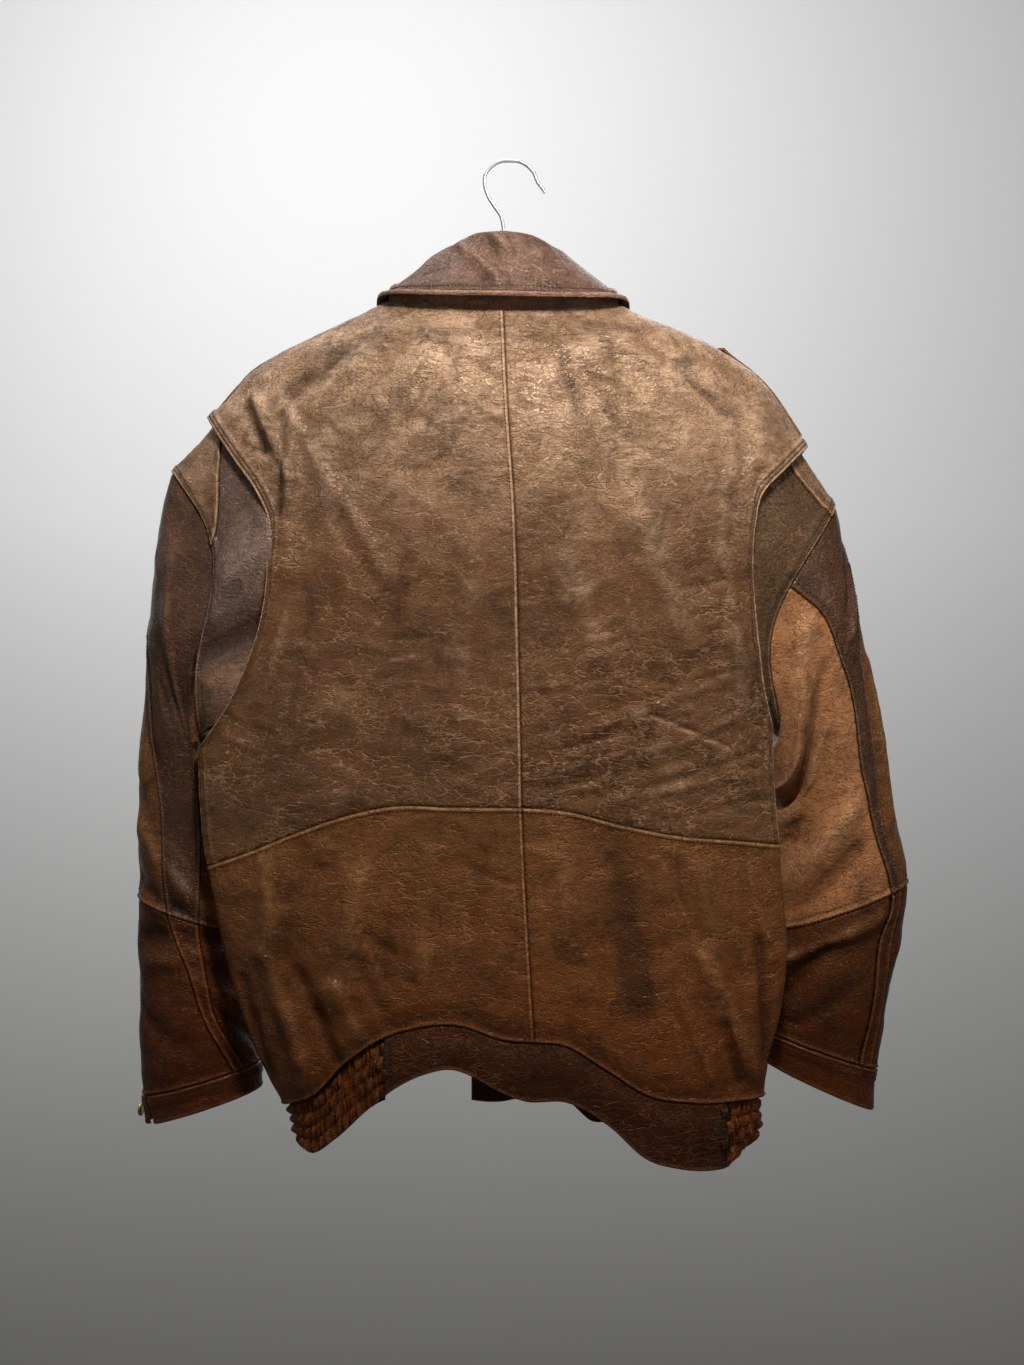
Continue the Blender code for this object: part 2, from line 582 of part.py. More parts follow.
def elastic(side, label):
    columns = 2 * PUCKERS
    points, outs = sampled(lambda t, v: elastic_place(side, t, v), spaced(columns), spaced(BAND_ROWS))
    points[1:-1:2, 1] += outs[1:-1:2, 1] * PUCKER
    points[2:-1:2, 1] -= outs[2:-1:2, 1] * PUCKER
    return wall("waistband_elastic_" + label, "leather_dark", points, outs)


# ---------------------------------------------------------------- the sleeves' surface
sleeve_rows = {side: curve_through([(i, *row) for i, row in enumerate(SLEEVE[side])]) for side in SLEEVE}


def round_sleeve(side, turn, level):
    """A sleeve's surface below its cap seam. A turn of 0 is its outer edge, a quarter its back, a half its inside."""
    outer_x, outer_drop, inner_x, inner_drop, back, front, bow, bow_at = sleeve_rows[side](level)[:8]
    c, s = cos(2 * pi * turn), sin(2 * pi * turn)
    away = (turn - bow_at + 0.5) % 1 - 0.5
    x = (outer_x + inner_x) / 2 + c * (outer_x - inner_x) / 2 - bow * exp(-((away / BOW_REACH[side]) ** 2))
    drop = (outer_drop + inner_drop) / 2 + c * (outer_drop - inner_drop) / 2
    set_back = CAP_SET_BACK * (0.5 - 0.5 * c) * max(0.0, 1 - level / CAP_SET_BACK_LEVELS) ** 2
    return np.array([side * x, (back * s if s > 0 else -front * s) - set_back, -drop])


def near_armpit(turn, reach):
    return exp(-(((turn % 1 - 0.5) / reach) ** 2))


def head_edge(side, turn):
    """The sleeve's head: a loop just under the body's armhole edge, and just over it at the armpit."""
    turn %= 1.0
    face = BACK if turn <= 0.5 else FRONT
    t = 2 * turn if face == BACK else 2 - 2 * turn
    curve = armholes[face, side]
    x, drop = curve(t)
    way = curve(min(t + 0.01, 1)) - curve(max(t - 0.01, 0))
    inward = np.array([-side * way[1], side * way[0]]) / hypot(*way)
    behind = (0.5 + 0.5 * sin(2 * pi * turn)) ** 2 * (1 - near_armpit(turn, 0.10))
    lap = HEAD_LAP_FRONT + (HEAD_LAP_BACK - HEAD_LAP_FRONT) * behind
    x, drop = x + lap * inward[0], drop + lap * inward[1]
    if turn == 0:
        x, drop = side_point(side, SHOULDER_DROP[side] - HEAD_LAP_TOP)
    over = near_armpit(turn, 0.05)
    way = over * np.array([0.0, 0.0, 1.0]) - (1 - over) * body_out(face, x, drop)
    return body_point(face, x, drop) + HEAD_UNDER * way / np.linalg.norm(way)


def sleeve_head(side, turn, level):
    """The sleeve above its cap seam: level runs from 0 at the head to 1 at the cap seam."""
    turn %= 1.0
    lead = sum(amount * exp(-(((turn - centre) / reach) ** 2)) for centre, reach, amount in HEAD_LEAD)
    top, foot = head_edge(side, turn + lead), round_sleeve(side, turn, 0)
    swell = HEAD_SWELL * sin(2 * pi * turn) - ARMPIT_LIFT * near_armpit(turn, 0.12)
    out = np.array([0, -sin(2 * pi * turn), cos(2 * pi * turn)])
    return top + (foot - top) * level + out * swell * sin(pi * level)


def turn_of(side, column, level):
    """Where round the sleeve one of its columns is. Level -1 is the head and 0 the cap seam."""
    seams = sleeve_rows[side](max(level, 0))[8:]
    if level < 0:
        head = np.array([-0.060, HEAD_DIVISION[side], HEAD_SEAM_2[side]])
        seams = seams + (head - seams) * -level
    knots = [0, OUTER_COLUMNS, CAP_COLUMNS, OUTER_COLUMNS + HIND_COLUMNS, RING]
    turns = [FRONT_SEAM, *seams, FRONT_SEAM + 1]
    return float(np.interp(column % RING, knots, turns)) + column // RING


def sleeve_point(side, column, level):
    turn = turn_of(side, column, level)
    return sleeve_head(side, turn, level + 1) if level < 0 else round_sleeve(side, turn, level)


def sleeve_out(side, column, level):
    """The outward direction, from the way along the sleeve and the way round it, and steadied round the armpit."""
    turn, step = turn_of(side, column, level), 0.004

    def at(turn, level):
        return sleeve_head(side, turn, level + 1) if level < 0 else round_sleeve(side, turn, level)

    low, high = (max(level - 0.02, -1.0), level) if level <= 0 else (level, min(level + 0.02, CUFF_HEM))
    if high == low:
        low -= 0.02
    round_way = at(turn + step, level) - at(turn - step, level)
    down_way = at(turn, high) - at(turn, low) if level != 0 else at(turn, 0.02) - at(turn, -0.02)
    out = unit(np.cross(round_way, down_way) * side)
    if level <= 0:
        c, s = cos(2 * pi * turn), sin(2 * pi * turn)
        steady = unit(np.array([-side * ARMPIT_LEAN * (0.5 - 0.5 * c), -s, c]))
        out *= 1 if out @ steady > 0 else -1
        out = unit(out + (steady - out) * near_armpit(turn, 0.10))
    return out


def sleeve_grid(side, columns, levels):
    points = np.array([[sleeve_point(side, column, level) for level in levels] for column in columns])
    outs = np.array([[sleeve_out(side, column, level) for level in levels] for column in columns])
    return points, outs


def sleeve_wall(name, material, side, columns, levels):
    wall(name, material, *sleeve_grid(side, columns, levels))


def sleeve(side, label):
    outer = list(range(0, OUTER_COLUMNS + 1))
    hind = list(range(OUTER_COLUMNS, OUTER_COLUMNS + HIND_COLUMNS + 1))
    under = list(range(OUTER_COLUMNS + HIND_COLUMNS, RING + 1))
    head = spaced(3, -1, 0)
    upper, fore = spaced(7, 0, ELBOW), spaced(4, ELBOW, CUFF_SEAM)
    gusset_tone = "leather_dark" if side == LEFT else "leather_olive"
    under_tone = "leather_brown" if side == LEFT else "leather_tan"
    sleeve_wall("shoulder_cap_" + label, "leather_olive", side, range(0, CAP_COLUMNS + 1), head)
    sleeve_wall("gusset_" + label, gusset_tone, side, range(CAP_COLUMNS, RING + 1), head)
    sleeve_wall("sleeve_outer_" + label, "leather_brown", side, outer, upper)
    sleeve_wall("sleeve_hind_" + label, "leather_dark", side, hind, upper)
    sleeve_wall("sleeve_under_" + label, under_tone, side, under, upper)
    sleeve_wall("forearm_outer_" + label, "leather_brown", side, outer, fore)
    sleeve_wall("forearm_hind_" + label, "leather_brown", side, hind, fore)
    sleeve_wall("forearm_under_" + label, under_tone, side, under, fore)
    cuff(side, label)


def cuff(side, label):
    columns, levels = range(SLIT_COLUMN, SLIT_COLUMN + RING + 1), spaced(2, CUFF_SEAM, CUFF_HEM)
    points, outs = sleeve_grid(side, columns, levels)
    for end, inner in ((0, 1), (-1, -2)):
        for j, opening in enumerate(SLIT_HALF):
            points[end, j] += unit(points[inner, j] - points[end, j]) * opening
        points[end, -1] += (points[end, -2] - points[end, -1]) * SLIT_CORNER
    wall("cuff_" + label, "leather_brown", points, outs)


# ---------------------------------------------------------------- the collar's surface
def neck_ring(side, station):
    """The neck seam, from the middle of the back (0) to the front end (1), with the body's outward direction."""
    face = BACK if station <= 0.5 else FRONT
    t = 2 * station if face == BACK else 2 - 2 * station
    x, drop = necks[face, side](t)
    return body_point(face, x, drop), body_out(face, x, drop)


def collar_fold(side, station):
    x, y, drop = collar_row(station)[:3]
    return np.array([COLLAR_X + side * x, y, -drop - side * COLLAR_TILT * x])


def collar_edge(side, station):
    x, y, drop = collar_row(station)[3:]
    return np.array([COLLAR_X + side * x, y, -drop - side * COLLAR_TILT * x])


def collar_place(side, station, level):
    """The collar: level 0 is the neck seam, 1 the top of its fold and 2 the edge of its leaf."""
    seam, body_way = neck_ring(side, station)
    seam = seam - body_way * LEATHER
    fold, edge = collar_fold(side, station), collar_edge(side, station)
    along = collar_fold(side, min(station + 0.02, 1)) - collar_fold(side, max(station - 0.02, 0))
    along = along / np.linalg.norm(along) if station > 0 else np.array([1.0, 0, 0])
    to_seam, to_edge = (unit(way - along * (way @ along)) for way in (seam - fold, edge - fold))
    lift, outward = -unit(to_seam + to_edge), unit(to_edge - to_seam)
    inner = fold - lift * COLLAR_ROLL
    outer = inner + outward * 2 * COLLAR_ROLL
    if level <= STAND_RISE:
        return seam + (inner - seam) * level / STAND_RISE
    if level >= 2 - STAND_RISE:
        t = (level - (2 - STAND_RISE)) / STAND_RISE
        return outer + (edge - outer) * t
    angle = pi * (level - STAND_RISE) / (2 - 2 * STAND_RISE)
    return (inner + outer) / 2 + COLLAR_ROLL * (lift * sin(angle) - outward * cos(angle))


def collar_out(side, station, level):
    """The direction away from the leather's hidden face: towards the neck on the stand, outwards on the leaf."""
    low, high = max(station - 0.01, 0.0), min(station + 0.01, 1.0)
    along = collar_place(side, high, level) - collar_place(side, low, level)
    if station == 0:
        along = np.array([side * 1.0, 0, 0])
    up = collar_place(side, station, min(level + 0.02, 2)) - collar_place(side, station, max(level - 0.02, 0))
    out = np.cross(up, along) * side
    out /= np.linalg.norm(out)
    if level < 0.3:
        seam_out = -neck_ring(side, station)[1]
        out = seam_out + (out - seam_out) * level / 0.3
        out /= np.linalg.norm(out)
    return out


def collar_wall(name, material, levels):
    stations = spaced(COLLAR_STATIONS)
    across_back = [(LEFT, s) for s in reversed(stations)] + [(RIGHT, s) for s in stations[1:]]
    points = np.array([[collar_place(side, s, level) for level in levels] for side, s in across_back])
    outs = np.array([[collar_out(side, s, level) for level in levels] for side, s in across_back])
    return wall(name, material, points, outs)


def collar():
    collar_wall("collar_stand", "leather_dark", [0.006, *spaced(3, 0, STAND_RISE)[1:]])
    rise = spaced(4, STAND_RISE, 2 - STAND_RISE)
    collar_wall("collar_leaf", "leather_dark", rise + spaced(4, 2 - STAND_RISE, 2)[1:])


# ---------------------------------------------------------------- what lies on the panels
def zip_tape(side, label):
    """The zip's tape lies under the front's edge and reaches past it."""
    def surface(u, v):
        drop = ZIP_TOP + (ZIP_FOOT - ZIP_TOP) * v
        edge_x = edge_by_drop[side](drop)[0]
        x = edge_x + side * (TAPE_UNDER - (TAPE_UNDER + TAPE_OUT) * u)
        out = body_out(FRONT, x, drop)
        return body_point(FRONT, x, drop) - out * (LEATHER + TAPE_BELOW), out

    points, outs = sampled(surface, spaced(2), spaced(16))
    return wall("zip_tape_" + label, "zip_cloth", points, outs, thickness=TAPE)


def chain_line(side, drop, width=CHAIN_WIDTH):
    """The middle of what sits along the tape's free edge, and its outward direction."""
    edge_x = edge_by_drop[side](drop)[0]
    x = edge_x - side * (TAPE_OUT + SEAM_GAP + width / 2)
    out = body_out(FRONT, x, drop)
    return body_point(FRONT, x, drop) - out * (LEATHER + TAPE_BELOW + TAPE / 2), out


def zip_chain(side, label, foot):
    """The row of teeth, as one plain bar along the tape's edge."""
    def surface(u, v):
        centre, out = chain_line(side, ZIP_TOP + (foot - ZIP_TOP) * v)
        return centre + np.array([(u - 0.5) * CHAIN_WIDTH, 0, 0]) + out * CHAIN_DEPTH / 2, out

    points, outs = sampled(surface, spaced(1), spaced(16))
    return wall("zip_chain_" + label, "brass", points, outs, thickness=CHAIN_DEPTH, gap=0.0)


def block(name, material, size, centre, bevel):
    mesh = bmesh.new()
    bmesh.ops.create_cube(mesh, size=1.0, matrix=Matrix.Diagonal((*size, 1.0)))
    bmesh.ops.bevel(mesh, geom=mesh.edges[:], offset=bevel, segments=2, affect="EDGES", profile=0.5)
    obj = finished(name, mesh, material)
    obj.location = centre
    return obj


def bail(centre):
    """The slider's arch, that its pull tab hangs on."""
    curve = bpy.data.curves.new("zip_bail", "CURVE")
    curve.dimensions = "3D"
    curve.bevel_depth, curve.bevel_resolution, curve.use_fill_caps = BAIL_WIRE, 2, True
    line = curve.splines.new("POLY")
    turns = [radians(a) for a in range(-90, 91, 18)]
    line.points.add(len(turns) + 1)
    sunk = 0.0012
    arch = [(0, -sunk, -BAIL_RADIUS)] + [(0, BAIL_RADIUS * cos(a), BAIL_RADIUS * sin(a)) for a in turns]
    arch += [(0, -sunk, BAIL_RADIUS)]
    for point, place in zip(line.points, arch):
        point.co = (*place, 1)
    obj = bpy.data.objects.new("zip_bail", curve)
    obj.location = centre
    return obj


def zip_slider():
    """The slider stays at the foot of the right front, with its pull tab hanging from its arch."""
    drop = ZIP_FOOT - SLIDER[2] / 2 - RETAINER[2] - 2 * SEAM_GAP
    centre, _ = chain_line(RIGHT, drop, SLIDER[0] + SLIDER_CLEAR)
    body = block("zip_slider", "brass", SLIDER, centre, 0.0008)
    face_y = centre[1] + SLIDER[1] / 2
    arch = bail((centre[0], face_y, centre[2]))
    collection.objects.link(arch)
    union(body, arch)

    box_centre, _ = chain_line(RIGHT, ZIP_FOOT - RETAINER[2] / 2, RETAINER[0] + SLIDER_CLEAR)
    block("zip_retainer", "brass", RETAINER, box_centre, 0.0006)

    hinge = np.array([centre[0], face_y + 0.0013, centre[2]])
    pull_tab(hinge)


def union(body, curve_object):
    """Joins a curve's solid into a body as one."""
    graph = bpy.context.evaluated_depsgraph_get()
    data = bpy.data.meshes.new_from_object(curve_object.evaluated_get(graph))
    place = curve_object.matrix_world.copy()
    place.translation = curve_object.location
    data.transform(place)
    bpy.data.objects.remove(curve_object)
    tool = bpy.data.objects.new("zip_bail_tool", data)
    tools.objects.link(tool)
    tool.hide_render, tool.display_type = True, "WIRE"
    cut = body.modifiers.new("bail", "BOOLEAN")
    cut.operation, cut.object, cut.solver = "UNION", tool, "EXACT"


def pull_tab(hinge):
    """A plate with an eye at its top. Its origin is on the hinge's axis."""
    width, thick, length = PULL
    eye_width, eye_height = PULL_EYE
    top = thick / 2
    outline_points = [(-width / 2, top), (-width / 2, -length + width / 2)]
    outline_points += [
        (-width / 2 * cos(a), -length + width / 2 - width / 2 * sin(a)) for a in np.linspace(0, pi, 7)[1:]
    ]
    outline_points += [(width / 2, top)]
    eye = [(-eye_width / 2, -thick / 2), (eye_width / 2, -thick / 2),
           (eye_width / 2, -thick / 2 - eye_height), (-eye_width / 2, -thick / 2 - eye_height)]
    curve = bpy.data.curves.new("zip_pull", "CURVE")
    curve.dimensions, curve.fill_mode, curve.extrude = "2D", "BOTH", thick / 2
    for points in (outline_points, eye):
        line = curve.splines.new("POLY")
        line.points.add(len(points) - 1)
        for point, (x, z) in zip(line.points, points):
            point.co = (x, z, 0, 1)
        line.use_cyclic_u = True
    obj = bpy.data.objects.new("zip_pull", curve)
    obj.location, obj.rotation_euler = hinge, (radians(90), 0, 0)
    obj.data.materials.append(materials["brass"])
    collection.objects.link(obj)


def disc(name, material, radius, thick, centre, out):
    mesh = bmesh.new()
    turn = Vector(out).to_track_quat("Z", "Y").to_matrix().to_4x4()
    bmesh.ops.create_cone(
        mesh, cap_ends=True, segments=24, radius1=radius, radius2=radius * 0.9, depth=thick, matrix=turn
    )
    obj = finished(name, mesh, material)
    obj.location = centre
    return obj


def shoulder_strap(side, label):
    """A strap on the front slope of the shoulder. Its inner end is pointed, and the right one's corner curls up."""
    lift = STRAP_CORNER_LIFT[side]
    start = SHOULDER_DROP[side] - 0.006
    ridge_drop = ridge_by_x[side]
    start_x = side_x(side, start)

    def surface(u, v):
        point_share = max(0.0, (u * STRAP_LENGTH - (STRAP_LENGTH - STRAP_POINT)) / STRAP_POINT)
        down = 0.002 + STRAP_WIDTH * (v + (0.5 - v) * point_share * 0.55)
        x = start_x - side * (STRAP_CLEAR + STRAP_LENGTH * 0.9 * u + STRAP_SLANT * v * (1 - u))
        drop = ridge_drop(side * x)[0] + down * 0.93
        out = body_out(FRONT, x, drop)
        curl = lift * max(0.0, (u - 0.55) / 0.45) ** 2 * (1 - v) ** 2
        return body_point(FRONT, x, drop) + out * (STRAP_OFF + LEATHER) + np.array([0, 0.3 * curl, curl]), out

    points, outs = sampled(surface, spaced(8), spaced(3))
    wall("epaulette_" + label, "leather_brown", points, outs)
    centre, out = surface(0.82, 0.5)
    seat = BUTTON_DEPTH / 2 + BUTTON_CLEAR
    disc("epaulette_button_" + label, "brass", BUTTON_RADIUS, BUTTON_DEPTH, centre + out * seat, out)


def cuff_snap(side, label):
    column, level = SLIT_COLUMN + RING - 1, (CUFF_SEAM + CUFF_HEM) / 2
    point, out = sleeve_point(side, column, level), sleeve_out(side, column, level)
    seat = SNAP_DEPTH / 2 + SNAP_CLEAR
    disc("cuff_snap_" + label, "brass", SNAP_RADIUS, SNAP_DEPTH, point + out * seat, out)


# ---------------------------------------------------------------- the hanger
def hanger():
    top = path_through(HANGER_TOP)
    foot = path_through(HANGER_FOOT)
    half = [top(t) for t in spaced(18)] + [foot(t) for t in spaced(14)]
    points = [(x, -drop) for x, drop in half] + [(-x, -drop) for x, drop in reversed(half[1:-1])]
    curve = bpy.data.curves.new("hanger_wood", "CURVE")
    curve.dimensions, curve.fill_mode, curve.extrude = "2D", "BOTH", HANGER_THICK / 2
    line = curve.splines.new("POLY")
    line.points.add(len(points) - 1)
    for point, (x, z) in zip(line.points, points):
        point.co = (x, z, 0, 1)
    line.use_cyclic_u = True
    wood = bpy.data.objects.new("hanger_wood", curve)
    wood.location, wood.rotation_euler = (CENTRE_X, HANGER_Y, 0), (radians(90), 0, 0)
    wood.data.materials.append(materials["wood"])
    collection.objects.link(wood)

    route = path_through(HOOK)
    curve = bpy.data.curves.new("hanger_hook", "CURVE")
    curve.dimensions = "3D"
    curve.bevel_depth, curve.bevel_resolution, curve.use_fill_caps = HOOK_WIRE, 3, True
    line = curve.splines.new("POLY")
    line.points.add(40)
    for point, t in zip(line.points, spaced(40)):
        x, drop = route(t)
        point.co = (x, 0, -drop, 1)
    hook = bpy.data.objects.new("hanger_hook", curve)
    hook.data.materials.append(materials["chrome"])
    collection.objects.link(hook)


# ---------------------------------------------------------------- the build
def new_material(name, colour, roughness, metallic):
    material = bpy.data.materials.new(name)
    material.use_nodes = True
    shader = material.node_tree.nodes["Principled BSDF"]
    shader.inputs["Base Color"].default_value = (*colour, 1)
    shader.inputs["Roughness"].default_value = roughness
    shader.inputs["Metallic"].default_value = metallic
    return material


for leftover in list(bpy.data.objects):
    bpy.data.objects.remove(leftover)
collection = bpy.data.collections.new("leather_jacket")
tools = bpy.data.collections.new("cutters")
for new in (collection, tools):
    bpy.context.scene.collection.children.link(new)
tools.hide_render = True
materials = {name: new_material(name, *values) for name, values in MATERIALS.items()}

armholes = {(face, side): armhole(face, side) for face in (BACK, FRONT) for side in (LEFT, RIGHT)}
necks = {(face, side): neck(face, side) for face in (BACK, FRONT) for side in (LEFT, RIGHT)}
edge_by_drop = {side: curve_through([(drop, x) for x, drop in FRONT_EDGE[side]]) for side in (LEFT, RIGHT)}
ridge_by_x = {
    side: curve_through([(row[1 if side == LEFT else 2], row[0]) for row in OUTLINE[:9 if side == RIGHT else 8]])
    for side in (LEFT, RIGHT)
}

for side, label in ((LEFT, "left"), (RIGHT, "right")):
    body_panels(side, label)
    elastic(side, label)
    sleeve(side, label)
    cuff_snap(side, label)
    shoulder_strap(side, label)
    zip_tape(side, label)
band_strip("waistband_back", BACK, waist_stations(BACK, LEFT)[:0:-1] + waist_stations(BACK, RIGHT))
band_strip("waistband_front_left", FRONT, waist_stations(FRONT, LEFT))
band_strip("waistband_front_right", FRONT, waist_stations(FRONT, RIGHT))
zip_chain(LEFT, "left", ZIP_FOOT)
zip_chain(RIGHT, "right", ZIP_FOOT - SLIDER[2] - RETAINER[2] - 3 * SEAM_GAP)
zip_slider()
collar()
hanger()
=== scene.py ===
# %% [markdown]
# # A worn leather flight jacket on its hanger
# The jacket hangs from a wire hook, and its back faces -Y. The solids of the frame hold every piece at its
# place, but their walls are coarse and plain. Each leather piece is made again here as a thin sheet on the
# same form, with its creases, rolled edges, gathers and stitches, and then it takes the place of its solid.

# %% Load the frame
from math import cos, pi, radians, sin

import bpy
import numpy as np
from mathutils import Matrix, Vector, noise


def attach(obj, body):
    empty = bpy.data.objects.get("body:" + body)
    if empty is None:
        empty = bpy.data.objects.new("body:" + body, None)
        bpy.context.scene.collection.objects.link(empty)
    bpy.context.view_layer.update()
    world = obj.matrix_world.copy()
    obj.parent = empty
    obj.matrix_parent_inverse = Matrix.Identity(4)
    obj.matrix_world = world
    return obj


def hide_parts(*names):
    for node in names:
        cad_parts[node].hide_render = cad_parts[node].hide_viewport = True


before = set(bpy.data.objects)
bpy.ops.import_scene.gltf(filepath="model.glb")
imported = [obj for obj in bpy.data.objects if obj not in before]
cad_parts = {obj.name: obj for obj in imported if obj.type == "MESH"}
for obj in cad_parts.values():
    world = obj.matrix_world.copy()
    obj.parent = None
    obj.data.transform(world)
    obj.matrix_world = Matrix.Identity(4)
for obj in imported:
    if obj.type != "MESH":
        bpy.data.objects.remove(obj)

bpy.context.view_layer.update()

# %% [markdown]
# ## The stage and the light
# Leather shows its folds best under one small light that is near and high: the shoulders are bright, the
# hem is in the dusk, and every crease has a lit and a dark side. A large light far away would flatten it.
# The backdrop is one sheet that sweeps up from the floor, far behind, so that no corner shows, and it has a
# light of its own. Its paper is painted darker downwards, a painted shade of a lamp's falloff.

# %% The camera
CAMERA_PLACE = (0.002, -1.582, -0.499)
SENSOR, LENS = 36.0, 43.46

bpy.ops.object.select_all(action="DESELECT")
bpy.ops.object.camera_add(location=CAMERA_PLACE, rotation=(radians(90), 0, 0))
camera = bpy.context.object
camera.data.sensor_width, camera.data.lens = SENSOR, LENS
bpy.context.scene.camera = camera
print("camera", CAMERA_PLACE, "lens", LENS)

# %% The studio's paper
# The paper is dark at its foot and pale at its head: a painted shade of the light's falloff.
PAPER_FOOT, PAPER_HEAD = -2.6, 0.0
PAPER_DARK, PAPER_PALE, PAPER_ROUGH = (0.34, 0.335, 0.325, 1), (0.78, 0.785, 0.78, 1), 0.9


def paper_painted_darker_downwards():
    """A studio paper painted darker downwards, a painted shade of a lamp's falloff, for what isn't part of
    the object.
    """
    paper = bpy.data.materials.new("studio_paper")
    paper.use_nodes = True
    nodes, links = paper.node_tree.nodes, paper.node_tree.links
    place, height = nodes.new("ShaderNodeTexCoord"), nodes.new("ShaderNodeSeparateXYZ")
    grade, mix = nodes.new("ShaderNodeMapRange"), nodes.new("ShaderNodeMix")
    grade.inputs["From Min"].default_value, grade.inputs["From Max"].default_value = PAPER_FOOT, PAPER_HEAD
    mix.data_type = "RGBA"
    mix.inputs[6].default_value, mix.inputs[7].default_value = PAPER_DARK, PAPER_PALE
    links.new(place.outputs["Object"], height.inputs["Vector"])
    links.new(height.outputs["Z"], grade.inputs["Value"])
    links.new(grade.outputs["Result"], mix.inputs[0])
    shader = nodes["Principled BSDF"]
    links.new(mix.outputs[2], shader.inputs["Base Color"])
    shader.inputs["Roughness"].default_value = PAPER_ROUGH
    return paper


# %% The floor and the backdrop
FLOOR_Z, FLOOR_HALF, BACKDROP_Y, SWEEP, SWEEP_STEPS = -4.20, 8.0, 3.4, 1.2, 24
TOUCH = 0.01


def select_edges(sheet, chosen):
    """Selects, in edit mode, the edges whose two ends are both chosen."""
    bpy.ops.object.mode_set(mode="EDIT")
    bpy.ops.mesh.select_all(action="DESELECT")
    bpy.ops.object.mode_set(mode="OBJECT")
    for edge in sheet.data.edges:
        edge.select = all(chosen(sheet.data.vertices[v].co) for v in edge.vertices)
    bpy.ops.object.mode_set(mode="EDIT")


def floor_and_backdrop():
    """A floor whose far edge is drawn up into a backdrop."""
    bpy.ops.object.select_all(action="DESELECT")
    bpy.ops.mesh.primitive_plane_add(size=2 * FLOOR_HALF, location=(0, BACKDROP_Y - FLOOR_HALF, FLOOR_Z))
    bpy.ops.object.transform_apply(location=True)
    sheet = bpy.context.object
    sheet.name = "floor"
    select_edges(sheet, lambda end: end.y > BACKDROP_Y - TOUCH)
    bpy.ops.mesh.extrude_region_move(TRANSFORM_OT_translate={"value": (0, 0, 2 * FLOOR_HALF)})
    select_edges(sheet, lambda end: end.y > BACKDROP_Y - TOUCH and end.z < FLOOR_Z + TOUCH)
    bpy.ops.mesh.bevel(offset=SWEEP, segments=SWEEP_STEPS, affect="EDGES")
    bpy.ops.object.mode_set(mode="OBJECT")
    bpy.ops.object.shade_smooth()
    sheet.data.materials.append(paper_painted_darker_downwards())
    return sheet


floor = floor_and_backdrop()
print("stage", floor.name, len(floor.data.polygons), "faces")

# %% The lights and the room
LIGHTS = [
    # name, place, aim, size, power, colour
    ("key_light", (0.14, -0.78, 0.28), (0.02, 0.0, -0.44), 0.24, 10.8, (1.0, 0.985, 0.96)),
    ("side_light", (1.8, -1.3, 0.3), (0.0, 0.0, -0.5), 1.0, 7.0, (0.98, 0.99, 1.0)),
    ("left_light", (-1.7, -1.0, 0.1), (0.0, 0.0, -0.5), 0.8, 3.0, (1.0, 0.99, 0.97)),
    ("back_light", (0.5, 1.9, 0.9), (0.0, 0.0, -0.4), 1.4, 9.0, (1.0, 1.0, 1.0)),
    ("ceiling_light", (-0.4, -0.2, 3.2), (0.0, 2.0, -0.5), 1.6, 62.0, (1.0, 1.0, 1.0)),
    ("backdrop_light", (-0.6, 0.9, 1.4), (-0.3, 3.4, -0.4), 1.6, 62.0, (1.0, 1.0, 1.0)),
]
ROOM_COLOUR, ROOM_STRENGTH = (0.95, 0.97, 1.0, 1), 0.10


def soft_light(name, place, aim, size, power, colour):
    bpy.ops.object.light_add(type="AREA", location=place)
    light = bpy.context.object
    light.name = name
    light.data.shape, light.data.size, light.data.energy = "DISK", size, power
    light.data.color = colour
    light.rotation_euler = (Vector(aim) - Vector(place)).to_track_quat("-Z", "Y").to_euler()
    light.visible_camera = False


for row in LIGHTS:
    soft_light(*row)
world = bpy.data.worlds.new("pale_room")
bpy.context.scene.world = world
world.use_nodes = True
world.node_tree.nodes["Background"].inputs["Color"].default_value = ROOM_COLOUR
world.node_tree.nodes["Background"].inputs["Strength"].default_value = ROOM_STRENGTH
bpy.context.scene.view_settings.view_transform = "Standard"
print("lights", [row[0] for row in LIGHTS])

# %% [markdown]
# ## The finishes
# Old leather isn't one colour: its dye has worn off the ridges, dirt has settled in the creases and the
# hide takes the dye in clouds. Light and shade are painted in too: a painted highlight on ridges and
# turned edges, painted shade in creases and seams, and paler shoulders and a darker hem, as if lit from
# above. A picture of leather could be wrapped on, but patterns worked out from places on the object stay
# sharp from anywhere, so every finish here is built from noise. Its sums are written as plain Python.

# %% Arithmetic on sockets
class Value:
    """A shader socket that takes part in arithmetic: each sum adds a Math node."""

    def __init__(self, finish, socket):
        self.finish, self.socket = finish, socket

    def maths(self, operation, first, second):
        return self.finish.node("ShaderNodeMath", {"operation": operation}, {0: first, 1: second})

    def __add__(self, other):
        return self.maths("ADD", self, other)

    def __sub__(self, other):
        return self.maths("SUBTRACT", self, other)

    def __rsub__(self, other):
        return self.maths("SUBTRACT", other, self)

    def __mul__(self, other):
        return self.maths("MULTIPLY", self, other)

    __radd__, __rmul__ = __add__, __mul__

    def __abs__(self):
        return self.maths("ABSOLUTE", self, 0.0)

    def between(self, low, high):
        """0 below low, 1 above high and smooth between them."""
        settings = {"interpolation_type": "SMOOTHSTEP", "clamp": True}
        span = {"Value": self, "From Min": low, "From Max": high}
        return self.finish.node("ShaderNodeMapRange", settings, span)


